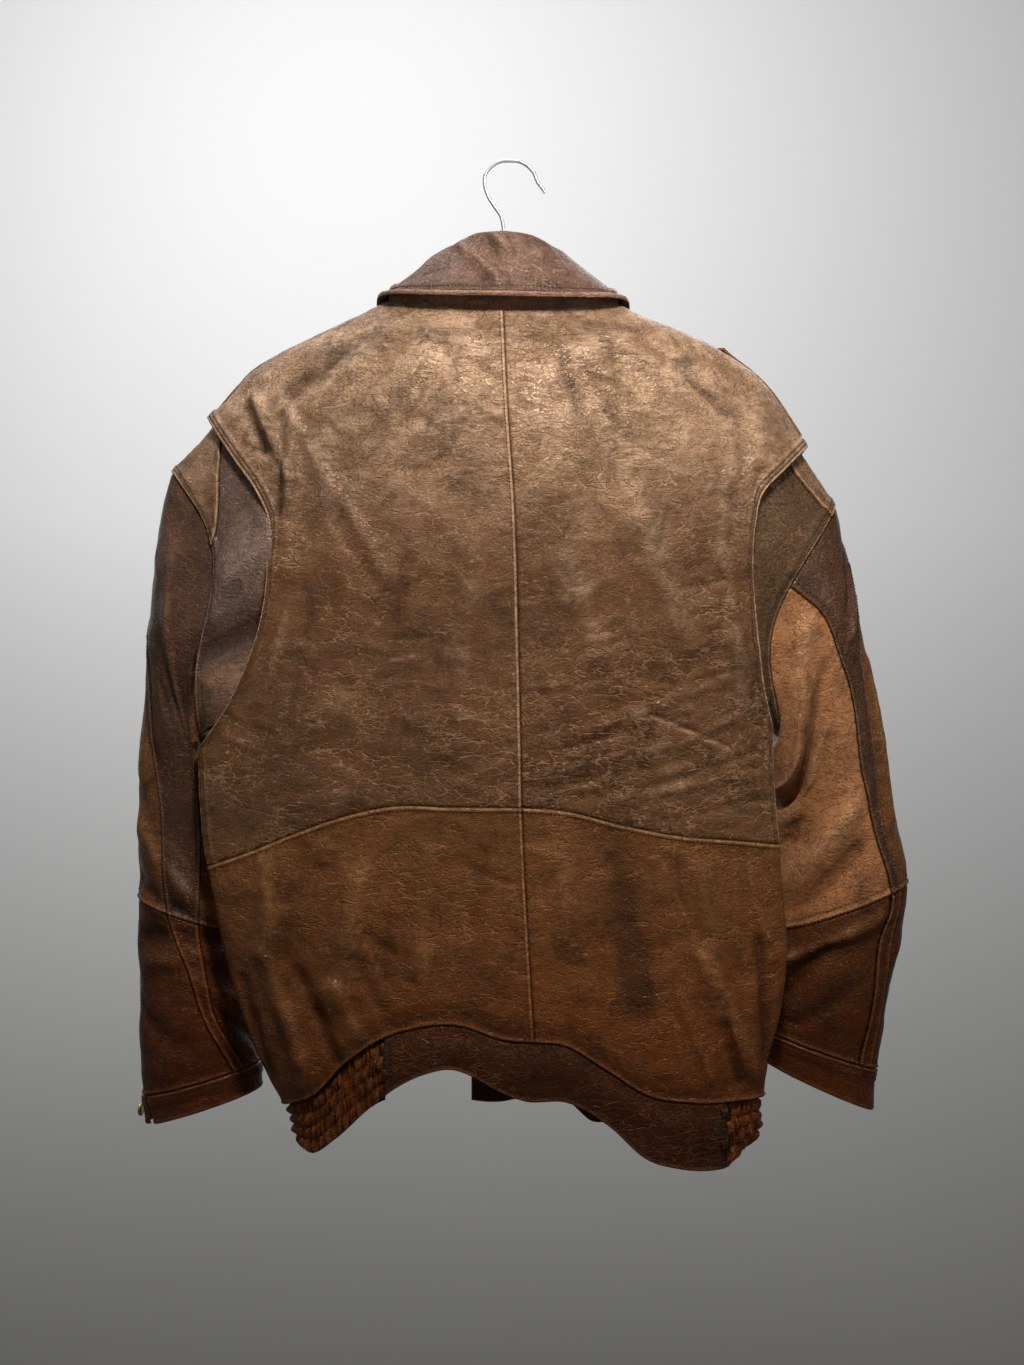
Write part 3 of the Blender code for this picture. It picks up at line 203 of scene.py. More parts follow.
class Finish:
    """A material and the few ways in which its nodes are made."""

    def __init__(self, name):
        self.material = bpy.data.materials.new(name)
        self.material.use_nodes = True
        self.tree = self.material.node_tree
        self.shader = self.tree.nodes["Principled BSDF"]
        self.place = self.node("ShaderNodeTexCoord", {}, {}, "Object")

    def node(self, kind, settings, inputs, output=0):
        made = self.tree.nodes.new(kind)
        for name, value in settings.items():
            setattr(made, name, value)
        for name, value in inputs.items():
            self.put(made.inputs[name], value)
        return Value(self, made.outputs[output])

    def put(self, socket, value):
        if isinstance(value, Value):
            self.tree.links.new(value.socket, socket)
        elif isinstance(value, tuple) and socket.type == "RGBA":
            socket.default_value = (*value, 1)
        else:
            socket.default_value = value

    def set(self, name, value):
        self.put(self.shader.inputs[name], value)

    def fix(self, name, value):
        """Sets one of the shader's own values, the same all over."""
        self.shader.inputs[name].default_value = value

    def noise(self, scale, detail=2.0, rough=0.5, place=None, warp=0.0):
        inputs = {"Vector": place or self.place, "Scale": scale, "Detail": detail, "Roughness": rough}
        return self.node("ShaderNodeTexNoise", {}, {**inputs, "Distortion": warp})

    def cells(self, scale, feature="F1", place=None, smooth=None):
        inputs = {"Vector": place or self.place, "Scale": scale}
        if smooth is not None:
            inputs["Smoothness"] = smooth
        return self.node("ShaderNodeTexVoronoi", {"feature": feature}, inputs)

    def stretched(self, turn, scale, place=None):
        """The place turned and scaled, so that a pattern on it runs long in one direction."""
        mapping = {"Vector": place or self.place, "Rotation": turn, "Scale": scale}
        return self.node("ShaderNodeMapping", {}, mapping)

    def bent(self, place, scale, amount):
        """The place drawn about by a noise, so that a pattern on it runs unevenly."""
        pull = self.node("ShaderNodeTexNoise", {}, {"Vector": place, "Scale": scale, "Detail": 3.0}, "Color")
        sums = {0: pull, 1: (amount,) * 3, 2: place}
        return self.node("ShaderNodeVectorMath", {"operation": "MULTIPLY_ADD"}, sums)

    def attribute(self, name):
        return self.node("ShaderNodeAttribute", {"attribute_name": name}, {}, "Fac")

    def mix(self, share, first, second, blend="MIX"):
        settings = {"data_type": "RGBA", "blend_type": blend}
        return self.node("ShaderNodeMix", settings, {0: share, 6: first, 7: second}, 2)

    def bump(self, height, distance, strength=1.0, below=None):
        inputs = {"Height": height, "Distance": distance, "Strength": strength}
        if below is not None:
            inputs["Normal"] = below
        return self.node("ShaderNodeBump", {}, inputs)

# %% [markdown]
# ### Leather
# Worn hide is one warm brown with much fine detail: a pebbled grain of a millimetre or two, paler hairlines
# where the skin has dried and cracked, dye rubbed off the ridges and turned edges, with a painted highlight
# on them, dirt and painted shade in the creases, and painted shade in the seams. The shoulders have faded
# and are painted lighter as if lit from above, and the lower half is darkened by oil and handling and by a
# painted shade of the light's falloff. Each piece keeps how near its seams are and how high its folds
# stand, and the finish reads both.

# %% The patterns of a hide
HIDE_PATTERNS = {
    # name: scale, detail, roughness, warp, low, high
    "clouds": (8.0, 4.0, 0.60, 0.6, 0.34, 0.66), "blotches": (38.0, 5.0, 0.66, 0.8, 0.38, 0.64),
    "mottle": (150.0, 4.0, 0.70, 0.0, 0.38, 0.62), "pores": (420.0, 3.0, 0.60, 0.0, 0.36, 0.54),
    "patches": (15.0, 3.0, 0.60, 0.0, 0.40, 0.60), "other_patches": (22.0, 3.0, 0.60, 0.4, 0.42, 0.62),
    "smudges": (26.0, 6.0, 0.70, 0.8, 0.50, 0.68),
}
# Cracks and hairlines run long one way. How far they lean is in degrees.
LONG_CRACKS = (-16, (36.0, 60.0, 100.0), 0.9, 1.6, 0.060)
FINE_CRACKS = (34, (90.0, 130.0, 210.0), 0.8, 1.4, 0.080)
HAIR_LEAN, HAIR_SCALE, HAIR_WIDTH = -14, (22.0, 60.0, 90.0), 0.024
FINE_SHARE, HAIR_SHARE = 0.9, 0.7


def hide_pattern(finish, name):
    scale, detail, roughness, warp, low, high = HIDE_PATTERNS[name]
    return finish.noise(scale, detail, roughness, warp=warp).between(low, high)


def crack_lines(finish, lean, scale, bend_scale, bend, width):
    """The borders between uneven cells, where the skin has dried and cracked."""
    way = finish.bent(finish.stretched((0, radians(lean), 0), scale), bend_scale, bend)
    return 1 - finish.cells(1.0, "DISTANCE_TO_EDGE", place=way).between(0.0, width)


def hair_lines(finish):
    """Contour lines of a stretched noise, as fine as hairs."""
    way = finish.stretched((0, radians(HAIR_LEAN), 0), HAIR_SCALE)
    return 1 - abs(finish.noise(1.0, 6.0, 0.66, place=way, warp=1.2) - 0.5).between(0.0, HAIR_WIDTH)


def partly(pattern, least):
    """A pattern that never falls below least."""
    return least + (1 - least) * pattern


def toned(colour, shares):
    return tuple(min(1.0, tone * share) for tone, share in zip(colour, shares))


# %% One leather, in several tones
# The finishes, by the frame's material slots and by the names of special leathers.
FINISHES = {}
TAN_TONE = (0.260, 0.118, 0.055)
# The dye's deep tone, for dirt, stains and painted shade, and the worn tone where it is rubbed pale, with a
# painted highlight, and where it has dried.
DEEP_SHARES, PALE_SHARES, DRIED_SHARES = (0.28, 0.22, 0.18), (1.45, 1.25, 1.10), (0.95, 0.82, 0.66)
# The seam's shade tone, and the darker, more saturated tone toward the hem: oil and handling, and painted
# shade of the light's falloff.
SEAM_SHARES, OILED_AND_SHADED = (0.30, 0.30, 0.30), (0.82, 0.58, 0.38)
HEM_HEIGHT, WAIST_HEIGHT = -0.90, -0.60
# From the first height to the second the shoulders grow paler: faded, and painted lighter as if lit from
# above.
FADED_AND_LIT_FROM, FADED_AND_LIT_TO = -0.42, -0.20
# How far each mark goes to its tone: dirt; rubbing with a painted highlight on fold crests; painted shade in
# creases, in the fan's fine wrinkles and in seams.
DIRT, FOLD_WEAR_AND_HIGHLIGHT, FOLD_DARK, FAN_DARK, SEAM_DARK = 0.66, 0.45, 0.60, 0.55, 0.85
FOLD_FROM, FOLD_TO = 0.25, 1.0
SHINE, SHINE_TINT, COAT_ROUGH = 0.32, (1.0, 0.80, 0.60, 1), 0.34


def leather(name, main, worn, rough=0.42, fade_and_light=0.30, grain=1.0, sheen=0.0):
    """main is the dye, worn the tone under it, and the fade how far the shoulders are paler: faded, and
    painted lighter as if lit from above.
    """
    finish = Finish("worn_" + name)
    height = finish.node("ShaderNodeSeparateXYZ", {}, {"Vector": finish.place}, 2)
    above_hem, faded_and_lit = height.between(HEM_HEIGHT, WAIST_HEIGHT), height.between(FADED_AND_LIT_FROM, FADED_AND_LIT_TO)
    clouds, blotches, mottle, pores, patches, other_patches, smudges = (
        hide_pattern(finish, pattern) for pattern in HIDE_PATTERNS)
    hairs = hair_lines(finish)
    long_cracks = crack_lines(finish, *LONG_CRACKS) * patches
    fine_cracks = crack_lines(finish, *FINE_CRACKS) * other_patches
    cracks = (long_cracks + FINE_SHARE * fine_cracks + HAIR_SHARE * hairs * (1 - patches)).between(0.0, 0.9)
    fan = finish.attribute("fan") * hairs
    seam, rub, fold = finish.attribute("seam"), finish.attribute("rub"), finish.attribute("fold")
    crest, crease = fold.between(FOLD_FROM, FOLD_TO), (0 - fold).between(FOLD_FROM, FOLD_TO)

    deep, pale, dried = toned(main, DEEP_SHARES), toned(worn, PALE_SHARES), toned(worn, DRIED_SHARES)
    light = (1.0 - 0.42 * grain) + 0.26 * clouds + grain * (0.20 * blotches + 0.12 * mottle + 0.30 * pores)
    colour = finish.mix(finish.attribute("tan"), main, TAN_TONE)
    # The shoulders go toward the worn tone: faded leather, and painted light from above.
    colour = finish.mix(faded_and_lit * fade_and_light * partly(blotches, 0.45), colour, worn)
    # Fold crests go toward the worn tone: worn dye, and a painted highlight along them.
    colour = finish.mix(crest * partly(mottle, 0.40) * FOLD_WEAR_AND_HIGHLIGHT, colour, worn)
    colour = finish.mix(cracks * (0.42 + 0.30 * faded_and_lit), colour, dried)
    colour = finish.mix(1.0, colour, light, "MULTIPLY")
    # Creases go toward the deep tone: painted shade in them.
    colour = finish.mix(crease * FOLD_DARK, colour, deep)
    colour = finish.mix(smudges * partly(mottle, 0.50) * DIRT, colour, deep)
    # The fan's fine wrinkles are painted dark: painted shade in their creases.
    colour = finish.mix(fan * FAN_DARK, colour, deep)
    # Stains darken the leather, and so does painted shade: the collar's shadow across the upper back, and the
    # body's shade on the right under panel.
    colour = finish.mix(finish.attribute("stain") * partly(mottle, 0.55), colour, deep)
    # Turned edges go pale: rubbed dye, and a painted highlight on the raised edge; scars go pale too.
    colour = finish.mix(rub * partly(mottle, 0.55), colour, pale)
    # Seam gaps and stitch grooves go dark: painted shade in them.
    colour = finish.mix(seam * SEAM_DARK, colour, toned(deep, SEAM_SHARES))
    # Below the waist the colour darkens toward the hem: oil and handling, and painted shade of the light's
    # falloff.
    oiled_and_shaded = finish.mix(above_hem, OILED_AND_SHADED, (1.0, 1.0, 1.0))
    finish.set("Base Color", finish.mix(1.0, colour, oiled_and_shaded, "MULTIPLY"))
    finish.set("Roughness", rough + 0.20 * (0.5 - pores) + 0.10 * cracks - 0.10 * clouds)
    finish.fix("Specular IOR Level", SHINE)
    finish.fix("Specular Tint", SHINE_TINT)
    finish.fix("Coat Weight", sheen)
    finish.fix("Coat Roughness", COAT_ROUGH)

    wrinkle = finish.noise(70.0, 4.0, 0.55, warp=1.2)
    pebble = finish.cells(560.0, "SMOOTH_F1", smooth=0.5)
    normal = finish.bump(wrinkle, 0.0030, 0.35)
    normal = finish.bump(fan, 0.0030, 0.8, below=normal)
    normal = finish.bump(1 - cracks, 0.0012, 0.8, below=normal)
    normal = finish.bump(pebble + pores, 0.0004, 0.6, below=normal)
    finish.set("Normal", normal)
    FINISHES[name] = finish.material


# %% The leathers
LEATHERS = {
    # name: the dye, the worn tone, and what differs from the plain leather
    "leather_olive": ((0.122, 0.052, 0.021), (0.450, 0.285, 0.178), {"fade_and_light": 0.84}),
    "leather_brown": ((0.152, 0.056, 0.017), (0.340, 0.172, 0.072), {}),
    "leather_dark": ((0.066, 0.025, 0.012), (0.210, 0.110, 0.064),
                     {"rough": 0.36, "grain": 0.9, "sheen": 0.12}),
    "leather_tan": ((0.360, 0.150, 0.060), (0.500, 0.270, 0.130), {}),
    "gusset_leather": ((0.085, 0.042, 0.018), (0.240, 0.145, 0.085), {}),
    "gathered_leather": ((0.140, 0.048, 0.013), (0.360, 0.175, 0.075), {}),
    "band_leather": ((0.050, 0.015, 0.003), (0.180, 0.080, 0.026), {}),
    "cuff_leather": ((0.088, 0.024, 0.004), (0.220, 0.095, 0.030), {}),
    "shiny_leather": ((0.100, 0.052, 0.036), (0.290, 0.200, 0.160),
                      {"rough": 0.34, "grain": 0.8, "sheen": 0.25}),
    # The stand is the collar's leather painted lighter: painted light where the leaf shades it.
    "stand_leather_painted_light": ((0.240, 0.110, 0.070), (0.480, 0.290, 0.200), {}),
    "collar_leather": ((0.084, 0.041, 0.027), (0.320, 0.195, 0.140), {"rough": 0.46, "fade_and_light": 0.20}),
}
for name, (dye, worn, special) in LEATHERS.items():
    leather(name, dye, worn, **special)
print("leathers", sorted(FINISHES))

# %% [markdown]
# ### Thread, zip cloth, metal and wood
# The small parts need less: a twist in the thread, a weave in the tape, worn brass, bright wire and a pale
# wood whose grain runs along the hanger's arms.

# %% The other finishes
def thread_finish():
    finish = Finish("thread")
    twist = finish.noise(900.0, 2.0)
    finish.set("Base Color", finish.mix(twist, (0.022, 0.012, 0.007), (0.070, 0.042, 0.024)))
    finish.fix("Roughness", 0.75)
    return finish.material


def tape_finish():
    finish = Finish("zip_weave")
    along = finish.stretched((0, 0, radians(45)), (1400.0, 1400.0, 1400.0))
    weave = finish.node("ShaderNodeTexChecker", {}, {"Vector": along, "Scale": 1.0}, "Fac")
    yarn = weave * 0.4 + 0.6 * finish.noise(300.0)
    finish.set("Base Color", finish.mix(yarn, (0.030, 0.018, 0.012), (0.075, 0.048, 0.032)))
    finish.fix("Roughness", 0.9)
    finish.set("Normal", finish.bump(weave, 0.0002, 0.5))
    return finish.material


def metal_finish(name, bright, dull, rough, tarnish):
    finish = Finish("worn_" + name)
    stain = finish.noise(240.0, 4.0, 0.6).between(0.42, 0.72) * tarnish
    finish.set("Base Color", finish.mix(stain, bright, dull))
    finish.set("Roughness", rough + 0.35 * stain)
    finish.fix("Metallic", 1.0)
    finish.set("Normal", finish.bump(finish.noise(600.0, 3.0), 0.0001, 0.25))
    return finish.material


def wood_finish():
    finish = Finish("pale_wood")
    along = finish.stretched((0, 0, 0), (18.0, 160.0, 160.0))
    rings = finish.noise(1.0, 3.0, 0.55, place=along, warp=0.5).between(0.35, 0.65)
    finer = finish.stretched((0, 0, 0), (90.0, 1500.0, 1500.0))
    pores = finish.noise(1.0, 2.0, 0.5, place=finer).between(0.5, 0.7)
    colour = finish.mix(rings, (0.560, 0.390, 0.235), (0.700, 0.540, 0.370))
    finish.set("Base Color", finish.mix(pores * 0.35, colour, (0.380, 0.240, 0.130)))
    finish.set("Roughness", 0.42 + 0.12 * rings)
    finish.set("Normal", finish.bump(rings + pores, 0.0002, 0.3))
    return finish.material


THREAD = thread_finish()
FINISHES["zip_cloth"], FINISHES["wood"] = tape_finish(), wood_finish()
FINISHES["brass"] = metal_finish("brass", (0.560, 0.410, 0.200), (0.190, 0.120, 0.060), 0.32, 0.9)
FINISHES["chrome"] = metal_finish("chrome", (0.900, 0.900, 0.910), (0.420, 0.400, 0.380), 0.34, 0.30)
print("finishes", sorted(FINISHES))

# %% [markdown]
# ## The form of the body
# A hanging jacket has no simple primitive in it. Its body is a pair of surfaces, back and front, that meet
# along the sides and the shoulders. Each is given here by short tables, read through smooth curves: the
# outline, how deep the body is, and the folds that the leather has taken. Drops are distances below the
# point where the hook bears.

# %% Sides, thicknesses and smooth curves
BACK, FRONT = -1, 1
LEFT, RIGHT = -1, 1
SIDES = ((LEFT, "left"), (RIGHT, "right"))
LEATHER, TAPE = 0.0020, 0.0010


def curve_through(rows):
    """A smooth curve through a table's rows, from the first column's values to the others."""
    table = np.array(rows, float)
    keys, values = table[:, 0], table[:, 1:]
    slopes = np.gradient(values, keys, axis=0)

    def at(key):
        key = np.clip(np.asarray(key, float), keys[0], keys[-1])
        i = np.clip(np.searchsorted(keys, key) - 1, 0, len(keys) - 2)
        step = np.asarray(keys[i + 1] - keys[i])[..., None]
        t = np.asarray(key - keys[i])[..., None] / step
        start = (1 + 2 * t) * (1 - t) ** 2 * values[i] + t * (1 - t) ** 2 * step * slopes[i]
        end = t * t * (3 - 2 * t) * values[i + 1] + t * t * (t - 1) * step * slopes[i + 1]
        return start + end

    return at


def path_through(points):
    """A smooth path through points, by its share of their length."""
    points = np.array(points, float)
    steps = np.linalg.norm(np.diff(points, axis=0), axis=1)
    shares = np.concatenate([[0.0], np.cumsum(steps)]) / steps.sum()
    return curve_through(np.column_stack([shares, points]))


def unit(ways):
    return ways / np.maximum(np.linalg.norm(ways, axis=-1, keepdims=True), 1e-12)


def ease(value):
    """0 below 0, 1 above 1 and smooth between."""
    value = np.clip(value, 0.0, 1.0)
    return value * value * (3 - 2 * value)


def bell(distance, reach):
    return np.exp(-((distance / reach) ** 2))


# %% The body's tables
OUTLINE = [
    # drop, left, right
    (0.135, 0.120, 0.100), (0.150, 0.149, 0.129), (0.160, 0.170, 0.155), (0.172, 0.195, 0.184),
    (0.187, 0.225, 0.211), (0.204, 0.250, 0.235), (0.226, 0.269, 0.254), (0.247, 0.289, 0.267),
    (0.276, 0.290, 0.283), (0.350, 0.290, 0.283), (0.450, 0.289, 0.262), (0.540, 0.287, 0.243),
    (0.600, 0.286, 0.244), (0.670, 0.278, 0.250), (0.757, 0.261, 0.256), (0.804, 0.248, 0.250),
    (0.845, 0.2335, 0.241), (0.873, 0.221, 0.237), (0.890, 0.212, 0.237), (0.911, 0.207, 0.239),
    (0.938, 0.200, 0.226),
]
DEPTH = [
    # drop, side, back, front, back_power, front_power, front_root
    (0.130, 0.000, -0.048, 0.030, 2.0, 2.0, 0.50), (0.160, 0.000, -0.060, 0.034, 2.0, 2.0, 0.50),
    (0.200, 0.000, -0.075, 0.040, 2.1, 2.0, 0.50), (0.250, -0.004, -0.085, 0.048, 2.2, 2.0, 0.52),
    (0.300, -0.020, -0.089, 0.050, 2.4, 1.8, 0.72), (0.350, -0.033, -0.091, 0.050, 2.6, 1.6, 0.92),
    (0.450, -0.045, -0.092, 0.050, 2.8, 1.5, 1.00), (0.560, -0.056, -0.091, 0.048, 2.8, 1.5, 1.00),
    (0.650, -0.060, -0.088, 0.046, 2.8, 1.5, 1.00), (0.750, -0.060, -0.087, 0.045, 2.8, 1.5, 1.00),
    (0.830, -0.057, -0.085, 0.045, 2.8, 1.5, 1.00), (0.890, -0.045, -0.080, 0.043, 2.6, 1.5, 1.00),
    (0.940, -0.036, -0.077, 0.041, 2.6, 1.5, 1.00),
]
BACK_FOLDS = [
    # x0, drop0, x1, drop1, half_width, height
    (-0.228, 0.240, -0.204, 0.310, 0.012, 0.0040), (-0.204, 0.310, -0.210, 0.390, 0.012, 0.0035),
    (-0.190, 0.260, -0.188, 0.370, 0.014, -0.0030), (0.240, 0.240, 0.216, 0.390, 0.012, 0.0045),
    (0.214, 0.250, 0.196, 0.380, 0.014, -0.0030), (-0.205, 0.800, -0.190, 0.870, 0.012, 0.0045),
    (-0.165, 0.780, -0.150, 0.835, 0.010, 0.0040), (0.222, 0.780, 0.228, 0.880, 0.010, 0.0050),
    (0.195, 0.800, 0.204, 0.870, 0.010, -0.0035),
]
WAIST_BACK = [
    # x, drop
    (-0.210, 0.892), (-0.178, 0.877), (-0.150, 0.847), (-0.115, 0.824), (-0.082, 0.814), (-0.050, 0.812),
    (-0.0035, 0.826), (0.0225, 0.828), (0.050, 0.831), (0.086, 0.852), (0.127, 0.878), (0.170, 0.886),
    (0.238, 0.884),
]
HEM_BACK = [
    (-0.204, 0.932), (-0.190, 0.938), (-0.163, 0.922), (-0.133, 0.894), (-0.106, 0.871), (-0.073, 0.855),
    (-0.053, 0.852), (-0.0335, 0.8585), (-0.012, 0.871), (0.013, 0.881), (0.054, 0.883), (0.091, 0.905),
    (0.125, 0.936), (0.155, 0.946), (0.185, 0.9495), (0.210, 0.946), (0.232, 0.930),
]
WAIST_FRONT = [
    (-0.210, 0.892), (-0.165, 0.880), (-0.120, 0.863), (-0.038, 0.859), (0.010, 0.858), (0.048, 0.850),
    (0.070, 0.866), (0.094, 0.876), (0.160, 0.882), (0.238, 0.884),
]
HEM_FRONT = [
    (-0.204, 0.932), (-0.165, 0.924), (-0.120, 0.900), (-0.060, 0.904), (-0.010, 0.911), (0.030, 0.903),
    (0.048, 0.899), (0.064, 0.915), (0.080, 0.9275), (0.094, 0.9275), (0.130, 0.932), (0.190, 0.936),
    (0.232, 0.930),
]
WAIST_DROP = {LEFT: 0.892, RIGHT: 0.884}
WAIST_TUCK, TUCK_REACH = 0.005, 0.013

# %% The body's surface
outline, depth = curve_through(OUTLINE), curve_through(DEPTH)
waist_back, waist_front = curve_through(WAIST_BACK), curve_through(WAIST_FRONT)
hem_back, hem_front = curve_through(HEM_BACK), curve_through(HEM_FRONT)


def side_x(side, drop):
    return side * outline(drop)[..., 0 if side == LEFT else 1]


def side_point(side, drop):
    return np.stack([side_x(side, drop), np.asarray(drop, float)], axis=-1)


def ridges(x, drop, table):
    """The sum of soft ridges, or grooves where they are negative, along straight lines."""
    lift = np.zeros(np.broadcast(x, drop).shape)
    for x0, drop0, x1, drop1, half_width, height in table:
        run_x, run_drop = x1 - x0, drop1 - drop0
        t = np.clip(((x - x0) * run_x + (drop - drop0) * run_drop) / (run_x**2 + run_drop**2), 0, 1)
        lift += height * bell(np.hypot(x - x0 - t * run_x, drop - drop0 - t * run_drop), half_width)
    return lift


def share_across(x, drop):
    """How far across the body a place is: 0 at its middle, 1 at its side edge and more past it."""
    edges = outline(drop)
    left, right = edges[..., 0], edges[..., 1]
    return abs(x - (right - left) / 2) / ((right + left) / 2)


def body_point(face, x, drop):
    row = depth(drop)
    side, back, front, back_power, front_power, front_root = (row[..., i] for i in range(6))
    share = np.minimum(share_across(x, drop), 1.0)
    if face == FRONT:
        y = side + (front - side) * (1 - share**front_power) ** front_root
    else:
        bulge = (1 - share**back_power) ** 0.5
        tuck = WAIST_TUCK * bell(drop - waist_back(x)[..., 0], TUCK_REACH)
        y = side + (back - side - ridges(x, drop, BACK_FOLDS) + tuck) * bulge
    return np.stack([x + 0 * drop, y, -drop + 0 * x], axis=-1)


OUT_STEP, RIM_FROM, RIM_POWER = 0.001, 0.985, 14


def body_out(face, x, drop):
    """The body's outward direction. At its side edge and its shoulders both faces share one, the rim's."""
    rim = unit(np.stack([
        share_across(x + OUT_STEP, drop) - share_across(x - OUT_STEP, drop), 0 * x,
        share_across(x, drop - OUT_STEP) - share_across(x, drop + OUT_STEP),
    ], axis=-1))
    across = body_point(face, x + OUT_STEP, drop) - body_point(face, x - OUT_STEP, drop)
    down = body_point(face, x, drop + OUT_STEP) - body_point(face, x, drop - OUT_STEP)
    level = unit(np.cross(down, across))
    level = level * np.where(level[..., 1:2] * face > 0, 1, -1)
    share = np.minimum(share_across(x, drop), 1.0)[..., None]
    return np.where(share > RIM_FROM, rim, unit(level + (rim - level) * share**RIM_POWER))


print("body depth at the chest", np.round(body_point(BACK, np.array([0.0]), np.array([0.45])), 4))

# %% [markdown]
# ## From a surface to a sheet of leather
# A cut piece could be drawn flat and sewn by a simulation, but where it hangs is known already, so a grid
# primitive is laid on the surface instead. Its rows crowd at the edges, because the eye reads leather from
# its edges: one that lies over its neighbour is turned and raised, and one that goes under dips and runs on
# below the other.

# %% Rows that crowd at the edges
EDGE_ROWS = np.array([0.0, 0.0005, 0.0011, 0.0018, 0.0027, 0.0040, 0.0058, 0.0080])
ROW_STEP = 0.0033


def stations(length, step=ROW_STEP):
    """Places along a run of this length, as shares of it, closer together near both ends."""
    middle = length - 2 * EDGE_ROWS[-1]
    inner = EDGE_ROWS[-1] + middle * np.linspace(0, 1, max(round(middle / step), 2) + 1)[1:-1]
    return np.concatenate([EDGE_ROWS, inner, length - EDGE_ROWS[::-1]]) / length


# %% A cut piece and the profiles of its edges
OVER, RIDGE, UNDER, FREE, PLAIN = "over", "ridge", "under", "free", "plain"
EDGE_NAMES = "start", "end", "top", "foot"
EDGE_PROFILES = {
    # kind: dip, dip_width, wave_share, wave_at, wave_reach
    OVER: (0.0007, 0.0011, 1.0, 0.006, 0.007), RIDGE: (0.0005, 0.0009, 1.0, 0.006, 0.008),
    UNDER: (0.0009, 0.0028, 1.0, 0.004, 0.010), FREE: (0.0009, 0.0013, 0.5, 0.004, 0.006),
}
LIP, LIP_FROM, LIP_WIDTH, LIP_FALL = 0.0015, 0.0016, 0.0095, 0.0040
RIDGE_HEIGHT, RIDGE_AT, RIDGE_WIDTH = 0.0011, 0.0022, 0.0020
GROOVE, GROOVE_WIDTH = 0.0006, 0.0008
# A turned edge that lies over its neighbour has two rows of stitches, this far in.
STITCH_AT = 0.0040, 0.0080
PUCKER = 0.0005
# A long wedge is given as at most this many times as wide as a strip of its area and length.
WEDGE = 3.0


class Cut:
    """A cut piece on its surface: a grid of points, which way is outward, and how far each edge is."""

    def __init__(self, points, toward, outs=None):
        self.points = points
        turned = unit(np.cross(np.gradient(points, axis=0), np.gradient(points, axis=1)))
        self.sign = 1 if np.sum(turned * toward) > 0 else -1
        self.outs = turned * self.sign if outs is None else outs
        across = np.linalg.norm(np.diff(points, axis=0), axis=2).cumsum(axis=0)
        down = np.linalg.norm(np.diff(points, axis=1), axis=2).cumsum(axis=1)
        self.across = np.concatenate([np.zeros_like(across[:1]), across])
        self.down = np.concatenate([np.zeros_like(down[:, :1]), down], axis=1)
        self.away = {
            "start": self.across, "end": self.across[-1:] - self.across,
            "top": self.down, "foot": self.down[:, -1:] - self.down,
        }
        sides = [points[1:, :-1] - points[:-1, :-1], points[:-1, 1:] - points[:-1, :-1]]
        self.area = float(np.linalg.norm(np.cross(*sides), axis=2).sum())
        self.length = float(self.down[:, -1].max())
        self.width = min(float(self.across[-1].max()), WEDGE * self.area / self.length)
        self.shown = points

    def along(self, edge):
        return self.down if edge in ("start", "end") else self.across


def ripple(along, seed):
    """An uneven wave along a seam, where its stitches have drawn the leather up."""
    phases = np.random.default_rng(seed).uniform(0, 2 * pi, 3)
    waves = [(0.0105, 0.5), (0.0067, 0.3), (0.0172, 0.4)]
    return sum(share * np.sin(2 * pi * along / length + phase)
               for (length, share), phase in zip(waves, phases))


def edge_height(kind, away, along, seed):
    """How far an edge's finish lifts the leather near it."""
    if kind == PLAIN:
        return 0 * away
    dip, dip_width, wave_share, wave_at, wave_reach = EDGE_PROFILES[kind]
    wave = wave_share * PUCKER * ripple(along, seed) * bell(away - wave_at, wave_reach)
    height = -dip * (1 - ease(away / dip_width))
    if kind == RIDGE:
        height += RIDGE_HEIGHT * bell(away - RIDGE_AT, RIDGE_WIDTH)
    if kind == OVER:
        height += LIP * ease(away / LIP_FROM) * (1 - ease((away - LIP_WIDTH) / LIP_FALL))
        height -= GROOVE * sum(bell(away - row, GROOVE_WIDTH) for row in STITCH_AT)
        wave = wave * ease(away / 0.002)
    return height + wave


def calm_at_edges(cut, least, reach):
    """1 inside a piece, falling to least within this reach of any of its edges."""
    return partly(ease(np.minimum.reduce([cut.away[name] for name in EDGE_NAMES]) / reach), least)


def soft_noise(points, size, seed, depth=2):
    """Smooth uneven heights from -1 to 1 over an array of places."""
    flat = points.reshape(-1, 3) / size + seed * 7.31
    values = [noise.fractal(Vector(place), 1.0, 2.0, depth) for place in flat]
    return np.array(values).reshape(points.shape[:-1])


# %% The object under a cut piece
def grid_object(name, points, flip):
    """A grid primitive with its vertices laid on these points."""
    columns, rows = points.shape[0] - 1, points.shape[1] - 1
    bpy.ops.object.select_all(action="DESELECT")
    bpy.ops.mesh.primitive_grid_add(x_subdivisions=columns, y_subdivisions=rows, size=1)
    piece = bpy.context.object
    piece.name = piece.data.name = name
    flat = np.empty(len(piece.data.vertices) * 3)
    piece.data.vertices.foreach_get("co", flat)
    flat = flat.reshape(-1, 3)
    i = np.rint((flat[:, 0] + 0.5) * columns).astype(int)
    j = np.rint((flat[:, 1] + 0.5) * rows).astype(int)
    piece.data.vertices.foreach_set("co", points[i, j].ravel())
    if flip:
        piece.data.flip_normals()
    return piece, i, j


def keep_values(piece, name, values):
    layer = piece.data.attributes.new(name, "FLOAT", "POINT")
    layer.data.foreach_set("value", np.ascontiguousarray(values, dtype=np.float32).ravel())


